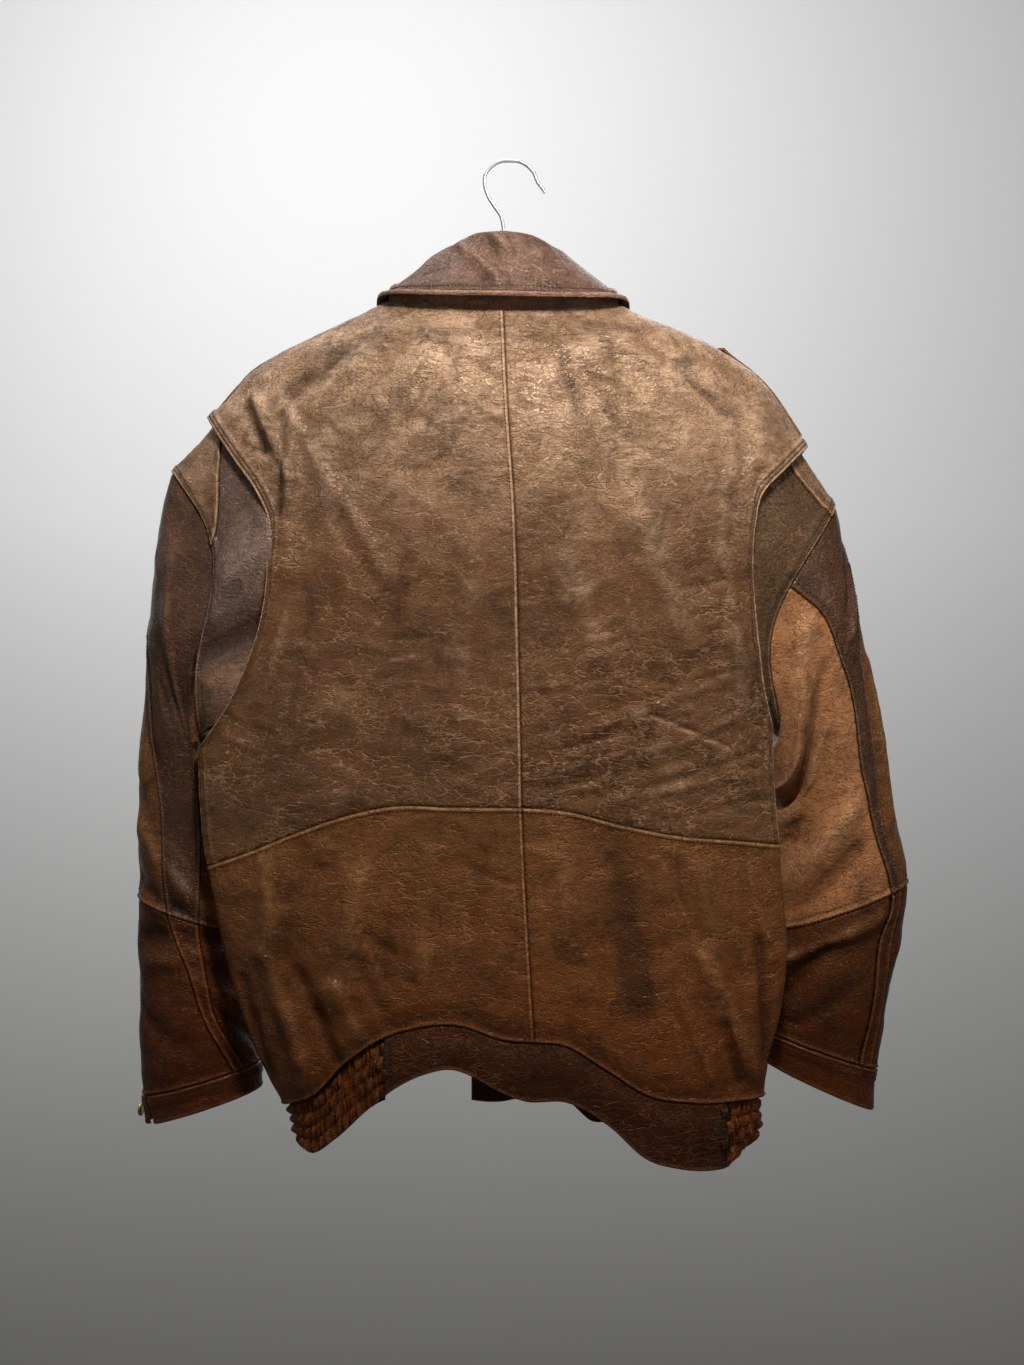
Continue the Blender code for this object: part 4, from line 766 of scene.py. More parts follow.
def keep_map(piece, across, down):
    """The piece's own map, in metres on the cut leather."""
    loops = np.empty(len(piece.data.loops), dtype=np.int32)
    piece.data.loops.foreach_get("vertex_index", loops)
    places = np.stack([across[loops], down[loops]], axis=-1)
    piece.data.uv_layers.active.data.foreach_set("uv", places.ravel())


def apply_modifier(piece, kind, **settings):
    bpy.context.view_layer.objects.active = piece
    modifier = piece.modifiers.new(kind.lower(), kind)
    for name, value in settings.items():
        setattr(modifier, name, value)
    bpy.ops.object.modifier_apply(modifier=modifier.name)


# %% What goes under the neighbours
# How far past the edge each of the two rows lies, and how deep.
FLANGE = ((0.0010, 0.0009), (0.0055, 0.0016))


def with_flanges(cut, fields, edges):
    """The grid with two more rows past each edge that goes under, and its fields with them."""
    points, outs, plain = cut.shown, cut.outs, cut.points
    for edge, kind in edges.items():
        if kind != UNDER:
            continue
        axis, last = (0, edge == "end") if edge in ("start", "end") else (1, edge == "foot")
        rows, ways, bare = (np.swapaxes(field, 0, axis) for field in (points, outs, plain))
        end, inner = (-1, -4) if last else (0, 3)
        past = unit(bare[end] - bare[inner])
        added = [rows[end] + past * reach - ways[end] * sink for reach, sink in FLANGE]
        order = added if last else added[::-1]
        bare_order = [bare[end] + past * reach for reach, _ in (FLANGE if last else FLANGE[::-1])]

        def grown(field, new):
            field = np.swapaxes(field, 0, axis)
            parts = [field, np.array(new)] if last else [np.array(new), field]
            return np.swapaxes(np.concatenate(parts), 0, axis)

        points, plain = grown(points, order), grown(plain, bare_order)
        outs = grown(outs, [ways[end]] * 2)
        for name, field in fields.items():
            edge_values = np.swapaxes(field, 0, axis)[end]
            fields[name] = grown(field, [edge_values] * 2)
    return points, fields


# %% Sewing a sheet
# How far the painted shade of a seam's gap reaches, and where the pale rubbed band lies, which is also a
# painted highlight on the raised edge.
SEAM_DEEP, SEAM_LINE, RUB_AND_HIGHLIGHT_AT = 0.0010, 0.0007, 0.0019
RUB_AND_HIGHLIGHT_WIDTH = {OVER: 0.0016, RIDGE: 0.0013, FREE: 0.0016}
LAPPED_SHADE, SEWN_SHADE, RUB_AND_HIGHLIGHT_LEAST = 0.6, 0.7, 0.80
FOLD_SCALE, SMOOTH_ANGLE = 0.004, radians(55)
CUTS = {}


def edge_marks(kind, away, along, seed):
    """How dark an edge's seam is painted, a painted shade in its gap and stitch grooves, and how far it is
    rubbed pale, worn and with a painted highlight.
    """
    seam, rub = 0 * away, 0 * away
    if kind in (OVER, RIDGE, UNDER):
        seam = bell(away, SEAM_DEEP if kind == UNDER else SEAM_LINE)
    if kind == OVER:
        seam = np.maximum(seam, LAPPED_SHADE * sum(bell(away - row, SEAM_LINE) for row in STITCH_AT))
    if kind in RUB_AND_HIGHLIGHT_WIDTH:
        rub = bell(away - RUB_AND_HIGHLIGHT_AT, RUB_AND_HIGHLIGHT_WIDTH[kind]) * partly(ripple(along, seed), RUB_AND_HIGHLIGHT_LEAST)
    return seam, rub


def sew_sheet(node, slot, cut, edges, relief=0.0, thickness=LEATHER, seed=1,
              finish=None, marks=(), sewn=()):
    """Makes a cut piece an object: relief, edges, thickness, map and finish, set in the jacket's body in
    place of its solid, with its cut kept for the stitches.
    """
    relief = relief + 0 * cut.across
    height, seam, rub = relief.copy(), 0 * relief, 0 * relief
    for order, (edge, kind) in enumerate(edges.items()):
        away, along = cut.away[edge], cut.along(edge)
        height += edge_height(kind, away, along, 10 * seed + order)
        seam_here, rub_and_highlight_here = edge_marks(kind, away, along, seed + order)
        seam, rub = np.maximum(seam, seam_here), np.maximum(rub, rub_and_highlight_here)
    for edge, *rows in sewn:
        groove = sum(bell(cut.away[edge] - row, GROOVE_WIDTH) for row in rows)
        height, seam = height - GROOVE * groove, np.maximum(seam, SEWN_SHADE * groove)
    cut.shown = cut.points + cut.outs * height[..., None]
    marks = dict(marks)
    rub = np.maximum(rub, marks.pop("rub", 0))
    fields = {"seam": seam, "rub": rub, "fold": relief / FOLD_SCALE, "across": cut.across, "down": cut.down,
              **{name: mark + 0 * relief for name, mark in marks.items()}}
    points, fields = with_flanges(cut, fields, edges)
    piece, i, j = grid_object(node + "_sheet", points, cut.sign < 0)
    for field in ("seam", "rub", "fold", *marks):
        keep_values(piece, field, fields[field][i, j])
    keep_map(piece, fields["across"][i, j], fields["down"][i, j])
    apply_modifier(piece, "SOLIDIFY", thickness=thickness, offset=-1, use_rim=True)
    bpy.ops.object.shade_smooth_by_angle(angle=SMOOTH_ANGLE)
    piece.data.materials.append(FINISHES[finish or slot])
    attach(piece, "jacket")
    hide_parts(node)
    CUTS[node] = cut


# %% Lines to stitch along
STITCHES = []


def edge_line(cut, edge, distance, start=0.0, end=1.0):
    """The line on a piece at this distance from one of its edges, with its outward directions."""
    axis = 0 if edge in ("start", "end") else 1
    away = np.swapaxes(cut.away[edge], 0, axis)
    points, outs = np.swapaxes(cut.shown, 0, axis), np.swapaxes(cut.outs, 0, axis)
    line = []
    for k in range(away.shape[1]):
        order = np.argsort(away[:, k])
        row = np.concatenate([points[order, k], outs[order, k]], axis=1)
        line.append([np.interp(distance, away[order, k], row[:, c]) for c in range(6)])
    line = np.array(line)
    first, last = round(start * (len(line) - 1)), round(end * (len(line) - 1))
    return line[first:last + 1, :3], unit(line[first:last + 1, 3:])


def stitch(cut, edge, *distances, start=0.0, end=1.0):
    """Notes a line of stitches at each distance from the edge, to be sewn at the end."""
    for distance in distances:
        STITCHES.append(edge_line(cut, edge, distance, start, end))

# %% [markdown]
# ## The body's panels
# A maker cuts the back as an upper and a lower pair, with a seam down the middle, and each front in one. A
# panel is a patch between its four seams: a Coons patch follows all four curves at once, which is how cloth
# is spread between its seams. Rows are read close together, so that creases of a few millimetres hold their
# shape.

# %% The seams
NECK_BACK = {
    LEFT: [(-0.006, 0.156), (-0.035, 0.1545), (-0.065, 0.150), (-0.100, 0.143)],
    RIGHT: [(-0.006, 0.156), (0.023, 0.1545), (0.055, 0.151), (0.088, 0.145)],
}
NECK_FRONT = {
    LEFT: [(-0.040, 0.196), (-0.070, 0.179), (-0.101, 0.156)],
    RIGHT: [(0.026, 0.196), (0.058, 0.179), (0.088, 0.158)],
}
NECK_DROP = {LEFT: 0.135, RIGHT: 0.139}
SHOULDER_DROP = {LEFT: 0.247, RIGHT: 0.276}
ARMPIT_DROP = {LEFT: 0.560, RIGHT: 0.540}
ARMHOLE_BACK = {
    LEFT: [(-0.257, 0.292), (-0.231, 0.329), (-0.221, 0.352), (-0.222, 0.394),
           (-0.228, 0.441), (-0.243, 0.487), (-0.262, 0.525)],
    RIGHT: [(0.254, 0.304), (0.233, 0.326), (0.225, 0.357), (0.223, 0.394),
            (0.226, 0.431), (0.230, 0.469), (0.235, 0.505)],
}
ARMHOLE_FRONT = {
    LEFT: [(-0.262, 0.300), (-0.243, 0.360), (-0.236, 0.420), (-0.240, 0.485), (-0.255, 0.530)],
    RIGHT: [(0.256, 0.320), (0.237, 0.370), (0.228, 0.425), (0.225, 0.475), (0.230, 0.515)],
}
CENTRE_SEAM = [
    (-0.006, 0.156), (-0.002, 0.242), (0.005, 0.351), (0.008, 0.460), (0.010, 0.551), (0.011, 0.6125),
]
CENTRE_SEAM_LOW = [(0.011, 0.6125), (0.013, 0.661), (0.018, 0.752), (0.0225, 0.828)]
YOKE_SEAM = {
    LEFT: [
        (0.011, 0.6125), (-0.056, 0.612), (-0.102, 0.611), (-0.149, 0.620), (-0.195, 0.636), (-0.242, 0.655),
    ],
    RIGHT: [(0.011, 0.6125), (0.046, 0.615), (0.100, 0.628), (0.157, 0.639), (0.203, 0.643)],
}
YOKE_DROP = {LEFT: 0.668, RIGHT: 0.648}
FRONT_EDGE = {
    LEFT: [(-0.040, 0.196), (-0.060, 0.400), (-0.090, 0.640), (-0.120, 0.863)],
    RIGHT: [(0.026, 0.196), (0.006, 0.400), (-0.016, 0.640), (-0.038, 0.859)],
}
BAND_ENDS = {BACK: {LEFT: -0.115, RIGHT: 0.200}, FRONT: {LEFT: -0.165, RIGHT: 0.160}}
# How much of a joined curve its first part takes.
NECK_SHARE, ARMPIT_SHARE, FRONT_ARMPIT_SHARE = 0.34, 0.72, 0.5

# %% Patches between seams

def patch(top, foot, near, far, us, vs):
    """Points between four edge curves: near and far run down it at u = 0 and 1, top and foot across it."""
    u, v = us[:, None, None], vs[None, :, None]
    top, foot, near, far = top(us)[:, None], foot(us)[:, None], near(vs)[None], far(vs)[None]
    corners = (1 - v) * ((1 - u) * top[:1] + u * top[-1:]) + v * ((1 - u) * foot[:1] + u * foot[-1:])
    return (1 - v) * top + v * foot + (1 - u) * near + u * far - corners


def joined(first, second, split):
    """Two curves end to end, the first up to the split."""

    def at(t):
        t = np.asarray(t, float)
        before, after = first(np.minimum(t / split, 1)), second(np.maximum((t - split) / (1 - split), 0))
        return np.where((t <= split)[..., None], before, after)

    return at


def side_run(side, start, end):
    return lambda t: side_point(side, start + (end - start) * np.asarray(t, float))


def armhole(face, side):
    table = (ARMHOLE_BACK if face == BACK else ARMHOLE_FRONT)[side]
    ends = side_point(side, SHOULDER_DROP[side]), side_point(side, ARMPIT_DROP[side])
    return path_through([ends[0], *table, ends[1]])


def neck(face, side):
    table = (NECK_BACK if face == BACK else NECK_FRONT)[side]
    return path_through([*table, side_point(side, NECK_DROP[side])])


armholes = {(face, side): armhole(face, side) for face in (BACK, FRONT) for side in (LEFT, RIGHT)}
necks = {(face, side): neck(face, side) for face in (BACK, FRONT) for side in (LEFT, RIGHT)}
edge_by_drop = {side: curve_through([(drop, x) for x, drop in FRONT_EDGE[side]]) for side in (LEFT, RIGHT)}


def waist_seam(face, side):
    """The seam at the waistband, between the centre or the front edge and the side."""
    waist = waist_back if face == BACK else waist_front
    start = (CENTRE_SEAM_LOW if face == BACK else FRONT_EDGE[side])[-1][0]
    end = float(side_x(side, WAIST_DROP[side]))

    def at(u):
        x = start + (end - start) * np.asarray(u, float) ** 0.9
        return np.stack([x, waist(x)[..., 0]], axis=-1)

    return at


# %% The creases of the back
BACK_CREASES = [
    # x0, drop0, x1, drop1, half_width, height
    (-0.104, 0.170, -0.204, 0.270, 0.0100, 0.0026), (-0.136, 0.179, -0.229, 0.244, 0.0080, -0.0022),
    (-0.073, 0.179, -0.163, 0.283, 0.0090, 0.0018), (-0.059, 0.197, -0.125, 0.306, 0.0070, -0.0014),
    (-0.036, 0.183, -0.063, 0.260, 0.0060, 0.0012), (-0.200, 0.255, -0.203, 0.330, 0.0050, 0.0024),
    (-0.209, 0.262, -0.212, 0.340, 0.0045, -0.0020), (-0.239, 0.233, -0.200, 0.315, 0.0050, 0.0026),
    (-0.215, 0.231, -0.106, 0.409, 0.0060, 0.0022), (-0.245, 0.242, -0.227, 0.285, 0.0050, -0.0026),
    (-0.171, 0.306, -0.150, 0.424, 0.0100, 0.0018), (-0.200, 0.424, -0.225, 0.515, 0.0070, 0.0020),
    (-0.180, 0.433, -0.204, 0.542, 0.0060, -0.0016), (0.091, 0.174, 0.177, 0.247, 0.0100, 0.0026),
    (0.127, 0.183, 0.211, 0.260, 0.0070, -0.0022), (0.064, 0.183, 0.118, 0.270, 0.0090, 0.0016),
    (0.050, 0.206, 0.082, 0.306, 0.0060, -0.0014), (0.205, 0.260, 0.191, 0.388, 0.0080, 0.0022),
    (0.229, 0.306, 0.225, 0.460, 0.0050, -0.0026), (0.198, 0.388, 0.214, 0.515, 0.0080, 0.0016),
    (0.082, 0.270, 0.164, 0.460, 0.0160, 0.0018), (-0.073, 0.260, -0.100, 0.460, 0.0180, -0.0016),
    (0.046, 0.388, 0.118, 0.533, 0.0140, 0.0016), (-0.036, 0.388, -0.050, 0.551, 0.0140, 0.0014),
    (-0.154, 0.306, 0.000, 0.306, 0.0024, -0.0010), (0.127, 0.529, 0.200, 0.559, 0.0022, -0.0012),
    (-0.104, 0.459, -0.073, 0.457, 0.0022, -0.0009), (-0.036, 0.606, 0.009, 0.579, 0.0030, -0.0012),
    (-0.050, 0.592, -0.004, 0.569, 0.0030, 0.0010), (-0.027, 0.583, 0.005, 0.553, 0.0026, -0.0009),
    (0.027, 0.597, 0.166, 0.567, 0.0036, -0.0014), (0.035, 0.580, 0.144, 0.555, 0.0032, 0.0012),
    (0.042, 0.560, 0.164, 0.529, 0.0034, -0.0013), (0.059, 0.547, 0.177, 0.506, 0.0030, 0.0011),
    (0.082, 0.526, 0.211, 0.486, 0.0032, -0.0012), (0.091, 0.606, 0.220, 0.584, 0.0036, 0.0013),
    (0.118, 0.597, 0.229, 0.562, 0.0030, -0.0014), (0.136, 0.626, 0.231, 0.606, 0.0030, -0.0011),
    (0.155, 0.556, 0.232, 0.519, 0.0030, 0.0012), (0.046, 0.506, 0.118, 0.482, 0.0026, -0.0010),
    (0.082, 0.469, 0.127, 0.456, 0.0026, -0.0010), (0.157, 0.417, 0.198, 0.406, 0.0026, -0.0010),
    (-0.225, 0.747, -0.191, 0.842, 0.0080, 0.0034), (-0.191, 0.765, -0.158, 0.844, 0.0060, -0.0032),
    (-0.162, 0.774, -0.131, 0.835, 0.0060, 0.0026), (-0.245, 0.774, -0.225, 0.858, 0.0070, -0.0028),
    (-0.143, 0.751, -0.107, 0.815, 0.0050, -0.0018), (0.173, 0.747, 0.226, 0.858, 0.0080, 0.0030),
    (0.229, 0.738, 0.238, 0.847, 0.0060, -0.0034), (0.191, 0.787, 0.211, 0.867, 0.0050, -0.0028),
    (0.155, 0.787, 0.184, 0.860, 0.0060, 0.0020), (0.216, 0.669, 0.236, 0.733, 0.0070, 0.0024),
    (-0.073, 0.651, -0.082, 0.787, 0.0140, 0.0020), (0.100, 0.660, 0.118, 0.797, 0.0160, -0.0020),
    (-0.136, 0.669, -0.154, 0.787, 0.0100, 0.0022), (0.173, 0.669, 0.193, 0.801, 0.0100, 0.0022),
    (0.046, 0.660, 0.059, 0.778, 0.0120, 0.0016), (-0.191, 0.651, -0.206, 0.751, 0.0070, -0.0018),
    (-0.027, 0.669, -0.036, 0.797, 0.0120, -0.0016), (-0.225, 0.651, -0.220, 0.733, 0.0070, 0.0022),
    (-0.107, 0.678, -0.114, 0.769, 0.0060, -0.0014), (0.140, 0.678, 0.151, 0.778, 0.0060, 0.0014),
]
FINE_CREASES, CREASE_DEPTH = 150, 1.35


def fine_creases():
    """Short shallow wrinkles all over the back, leaning up to the right toward the shoulder."""
    chance = np.random.default_rng(7)
    rows = []
    for _ in range(FINE_CREASES):
        x, drop = chance.uniform(-0.25, 0.25), chance.uniform(0.20, 0.86)
        lean = radians(chance.normal(14 if x > 0 else -24, 16))
        reach = chance.uniform(0.008, 0.026)
        height = chance.choice([-1, 1]) * chance.uniform(0.0003, 0.0009)
        aside, rise = reach * cos(lean), reach * sin(lean)
        rows.append((x - aside, drop + rise, x + aside, drop - rise, chance.uniform(0.0026, 0.0050), height))
    return rows


BACK_CREASES += fine_creases()
print("creases", len(BACK_CREASES))

# %% The marks on the back
# Dark marks where something rubbed, dripped or was leaned on; a band of painted shadow just below the collar,
# partly dirt; and broad darker patches down the left side.
STAINS_AND_SHADOW = [
    # x, drop, half_width, half_height, strength
    (0.093, 0.199, 0.006, 0.010, 0.85), (0.164, 0.201, 0.006, 0.009, 0.85),
    (0.032, 0.506, 0.006, 0.004, 0.85), (0.030, 0.539, 0.005, 0.004, 0.78),
    # The wide, shallow rows just below the collar, from 0.17 to 0.19 down, are its painted shadow, with some
    # dirt.
    (0.113, 0.308, 0.004, 0.005, 0.85), (-0.163, 0.192, 0.030, 0.007, 0.54),
    (0.032, 0.183, 0.030, 0.008, 0.54), (-0.073, 0.179, 0.050, 0.008, 0.62),
    (0.082, 0.171, 0.050, 0.007, 0.54), (0.068, 0.506, 0.020, 0.006, 0.39),
    (-0.063, 0.569, 0.030, 0.012, 0.39), (0.127, 0.774, 0.004, 0.003, 0.85),
    (0.173, 0.388, 0.030, 0.020, 0.39), (-0.191, 0.624, 0.030, 0.015, 0.46),
    (-0.118, 0.351, 0.020, 0.030, 0.31), (0.100, 0.697, 0.025, 0.030, 0.39),
    (-0.082, 0.697, 0.020, 0.035, 0.39),
    (-0.190, 0.770, 0.080, 0.080, 0.40), (-0.210, 0.560, 0.030, 0.080, 0.35),
    (-0.150, 0.420, 0.050, 0.110, 0.30),
]
SCARS = [
    # x0, drop0, x1, drop1, half_width, strength
    (-0.154, 0.307, 0.000, 0.304, 0.0011, 0.55), (0.127, 0.529, 0.200, 0.559, 0.0011, 0.80),
    (0.082, 0.215, 0.118, 0.222, 0.0010, 0.45), (-0.110, 0.480, -0.082, 0.474, 0.0010, 0.40),
    (0.150, 0.417, 0.196, 0.408, 0.0011, 0.45), (0.060, 0.478, 0.105, 0.462, 0.0010, 0.40),
    (-0.180, 0.330, -0.120, 0.420, 0.0012, 0.35), (0.030, 0.700, 0.085, 0.690, 0.0010, 0.35),
    (-0.150, 0.700, -0.120, 0.760, 0.0011, 0.35), (0.150, 0.690, 0.180, 0.760, 0.0011, 0.35),
]
FAN_CENTRE, FAN_REACH = (0.140, 0.560), (0.095, 0.060)


def back_marks(plan):
    """The stains with the collar's painted shadow, and the place where fine wrinkles fan out below the right
    shoulder blade, whose creases are painted dark.
    """
    x, drop = plan[..., 0], plan[..., 1]
    stain = 0 * x
    for at_x, at_drop, wide, tall, strength in STAINS_AND_SHADOW:
        stain = np.maximum(stain, strength * bell(np.hypot((x - at_x) / wide, (drop - at_drop) / tall), 1.0))
    fan = bell(np.hypot((x - FAN_CENTRE[0]) / FAN_REACH[0], (drop - FAN_CENTRE[1]) / FAN_REACH[1]), 1.0)
    return {"stain": stain, "fan": fan, "rub": ridges(x, drop, SCARS)}


def back_relief(cut, plan):
    """The creases, and an unevenness in two sizes, both calmer along the seams."""
    lift = CREASE_DEPTH * ridges(plan[..., 0], plan[..., 1], BACK_CREASES)
    lift += 0.0022 * soft_noise(cut.points, 0.085, 1) + 0.0011 * soft_noise(cut.points, 0.026, 2, 3)
    return lift * calm_at_edges(cut, 0.25, 0.014)


# %% The back and the front, piece by piece
UPPER_STEP, FRONT_STEP_ACROSS, FRONT_STEP_DOWN = 0.0028, 0.0048, 0.0056
TURN_RUN, UPPER_RUN, LOWER_RUN, FRONT_RUN = 0.3375, 0.48, 0.24, 0.70
# Rows lie closer together toward the shoulder.
ROW_POWER = 1.15


def across_stations(step=ROW_STEP):
    """Places from the middle to the side edge, close together where the body turns round it."""
    return np.clip(np.sin(pi / 2 * stations(TURN_RUN, step)), 0, 1)


def panel(node, slot, face, plan, edges, seed, marks=()):
    """Sews one panel of the body, with the body's creases on it."""
    cut = Cut(body_point(face, plan[..., 0], plan[..., 1]), np.array([0.0, face, 0.0]))
    sew_sheet(node, slot, cut, edges, back_relief(cut, plan), seed=seed, marks=marks)


def body_panels(side, label):
    ridge = side_run(side, NECK_DROP[side], SHOULDER_DROP[side])
    armpit, yoke, waist = ARMPIT_DROP[side], YOKE_DROP[side], WAIST_DROP[side]
    us, upper, lower = across_stations(), "back_upper_" + label, "back_lower_" + label

    yoke_seam = path_through([*YOKE_SEAM[side], side_point(side, yoke)])
    outer = joined(armholes[BACK, side], side_run(side, armpit, yoke), ARMPIT_SHARE)
    rows = stations(UPPER_RUN, UPPER_STEP) ** ROW_POWER
    upper_edge = joined(necks[BACK, side], ridge, NECK_SHARE)
    plan = patch(upper_edge, yoke_seam, path_through(CENTRE_SEAM), outer, us, rows)
    # The centre seam's ridge belongs to the left panels, and the right ones go under it.
    centre_kind = RIDGE if side == LEFT else UNDER
    edges = {"start": centre_kind, "end": OVER, "top": PLAIN, "foot": UNDER}
    panel(upper, "leather_olive", BACK, plan, edges, 3 + side, back_marks(plan))

    plan = patch(yoke_seam, waist_seam(BACK, side), path_through(CENTRE_SEAM_LOW),
                 side_run(side, yoke, waist), us, stations(LOWER_RUN))
    edges = {"start": centre_kind, "end": PLAIN, "top": RIDGE, "foot": RIDGE}
    panel(lower, "leather_brown", BACK, plan, edges, 7 + side, back_marks(plan))

    front_top = joined(necks[FRONT, side], ridge, NECK_SHARE)
    front_outer = joined(armholes[FRONT, side], side_run(side, armpit, waist), FRONT_ARMPIT_SHARE)
    plan = patch(front_top, waist_seam(FRONT, side), path_through(FRONT_EDGE[side]), front_outer,
                 across_stations(FRONT_STEP_ACROSS), stations(FRONT_RUN, FRONT_STEP_DOWN) ** ROW_POWER)
    edges = {"start": FREE, "end": OVER, "top": PLAIN, "foot": OVER}
    panel("front_" + label, "leather_brown", FRONT, plan, edges, 11 + side)


for side, label in SIDES:
    body_panels(side, label)

# %% [markdown]
# ## The sleeves
# A sleeve is a tube cut in three: an outer, a hind and an under piece down to the elbow, and three more to
# the cuff. A cylinder could be bent to shape, but each loop round the real one leans and flattens
# differently, so the surface is read from a table of loops. Above the cap seam it narrows to the armhole as
# a shoulder cap and a gusset.

# %% The loops round the sleeves
SLEEVE = {
    LEFT: [
        # outer_x, outer_drop, inner_x, inner_drop, back, front, bow, bow_at, seam_1, division, seam_2
        (0.3265, 0.2985, 0.2900, 0.560, -0.052, 0.048, 0.040, 0.19, -0.060, 0.180, 0.365),
        (0.3360, 0.3600, 0.2850, 0.595, -0.052, 0.055, 0.006, 0.20, -0.060, 0.140, 0.330),
        (0.3440, 0.4250, 0.2730, 0.632, -0.050, 0.058, 0.000, 0.22, -0.030, 0.140, 0.315),
        (0.3490, 0.4900, 0.2660, 0.662, -0.049, 0.059, 0.000, 0.25, 0.090, 0.205, 0.315),
        (0.3535, 0.5600, 0.2620, 0.690, -0.048, 0.059, 0.000, 0.25, 0.175, 0.247, 0.319),
        (0.3550, 0.6300, 0.2610, 0.715, -0.047, 0.058, 0.000, 0.25, 0.195, 0.255, 0.315),
        (0.3550, 0.7040, 0.2620, 0.735, -0.046, 0.055, 0.000, 0.25, 0.210, 0.261, 0.312),
        (0.3550, 0.7670, 0.2580, 0.765, -0.044, 0.051, 0.000, 0.25, 0.265, 0.292, 0.320),
        (0.3545, 0.8300, 0.2500, 0.810, -0.042, 0.042, 0.000, 0.25, 0.300, 0.318, 0.336),
        (0.3516, 0.8930, 0.2395, 0.861, -0.034, 0.032, 0.000, 0.25, 0.355, 0.375, 0.395),
        (0.3500, 0.9220, 0.2370, 0.886, -0.033, 0.030, 0.000, 0.25, 0.355, 0.375, 0.395),
    ],
    RIGHT: [
        (0.3120, 0.3300, 0.2620, 0.552, -0.050, 0.045, 0.042, 0.265, -0.060, 0.080, 0.205),
        (0.3237, 0.3807, 0.2640, 0.590, -0.051, 0.052, 0.020, 0.26, -0.010, 0.085, 0.178),
        (0.3330, 0.4290, 0.2640, 0.606, -0.050, 0.056, 0.006, 0.26, 0.060, 0.120, 0.180),
        (0.3410, 0.4770, 0.2650, 0.620, -0.049, 0.059, 0.002, 0.26, 0.095, 0.132, 0.170),
        (0.3575, 0.5545, 0.2640, 0.635, -0.048, 0.060, 0.000, 0.26, 0.125, 0.158, 0.190),
        (0.3700, 0.6220, 0.2660, 0.668, -0.047, 0.060, 0.000, 0.26, 0.140, 0.160, 0.180),
        (0.3805, 0.6900, 0.2560, 0.735, -0.046, 0.057, 0.000, 0.26, 0.100, 0.120, 0.140),
        (0.3750, 0.7380, 0.2500, 0.765, -0.044, 0.051, 0.000, 0.26, 0.110, 0.135, 0.160),
        (0.3620, 0.8060, 0.2430, 0.800, -0.042, 0.042, 0.000, 0.26, 0.090, 0.115, 0.140),
        (0.3510, 0.8680, 0.2380, 0.828, -0.034, 0.033, 0.000, 0.26, 0.090, 0.117, 0.145),
        (0.3480, 0.9080, 0.2370, 0.858, -0.033, 0.031, 0.000, 0.26, 0.090, 0.117, 0.145),
    ],
}
FRONT_SEAM = -0.20
# The cap is set back on its inner side, and less so down to this loop.
CAP_SET_BACK, CAP_SET_BACK_LEVELS = 0.019, 4
# The loops at the seams. Above the cap seam a level runs from -1 at the head to 0.
HEAD, CAP_SEAM, ELBOW, CUFF_SEAM, CUFF_HEM = -1, 0, 6, 9, 10
BOW_REACH = {LEFT: 0.11, RIGHT: 0.13}
OUTER_COLUMNS, HIND_COLUMNS, UNDER_COLUMNS = 6, 8, 7
CAP_COLUMNS = OUTER_COLUMNS + HIND_COLUMNS // 2
RING = OUTER_COLUMNS + HIND_COLUMNS + UNDER_COLUMNS
HEAD_LAP_BACK, HEAD_LAP_FRONT, HEAD_UNDER = 0.0085, -0.0030, 0.0075
ARMPIT_LAP_REACH, ARMPIT_OVER_REACH, ARMPIT_LIFT_REACH = 0.055, 0.035, 0.12
# The turns where the seams meet the head.
HEAD_SEAM_1 = -0.060
HEAD_DIVISION = {LEFT: 0.022, RIGHT: 0.040}
HEAD_SEAM_2 = {LEFT: 0.335, RIGHT: 0.200}
HEAD_SWELL, ARMPIT_LIFT = 0.004, 0.007
TUBE_LEAN, ARMPIT_FROM, ARMPIT_SOFT = 0.15, 0.17, 0.08
HEAD_LEAD = [
    # turn, reach, lead
    (0.35, 0.11, 0.050), (0.66, 0.10, -0.045),
]
TURN_STEP, LEVEL_STEP = 0.004, 0.02

# %% A sleeve's surface
sleeve_rows = {side: curve_through([(i, *row) for i, row in enumerate(SLEEVE[side])]) for side in SLEEVE}


def round_sleeve(side, turn, level):
    """A sleeve below its cap seam. Turn 0 is its outer edge, a quarter its back, a half its inside."""
    outer_x, outer_drop, inner_x, inner_drop, back, front, bow, bow_at = sleeve_rows[side](level)[:8]
    c, s = np.cos(2 * pi * turn), np.sin(2 * pi * turn)
    away = (turn - bow_at + 0.5) % 1 - 0.5
    x = (outer_x + inner_x) / 2 + c * (outer_x - inner_x) / 2 - bow * bell(away, BOW_REACH[side])
    drop = (outer_drop + inner_drop) / 2 + c * (outer_drop - inner_drop) / 2
    set_back = CAP_SET_BACK * (0.5 - 0.5 * c) * max(0.0, 1 - level / CAP_SET_BACK_LEVELS) ** 2
    return np.stack([side * x, np.where(s > 0, back * s, -front * s) - set_back, -drop], axis=-1)


def near_armpit(turn, reach):
    return bell(turn % 1 - 0.5, reach)


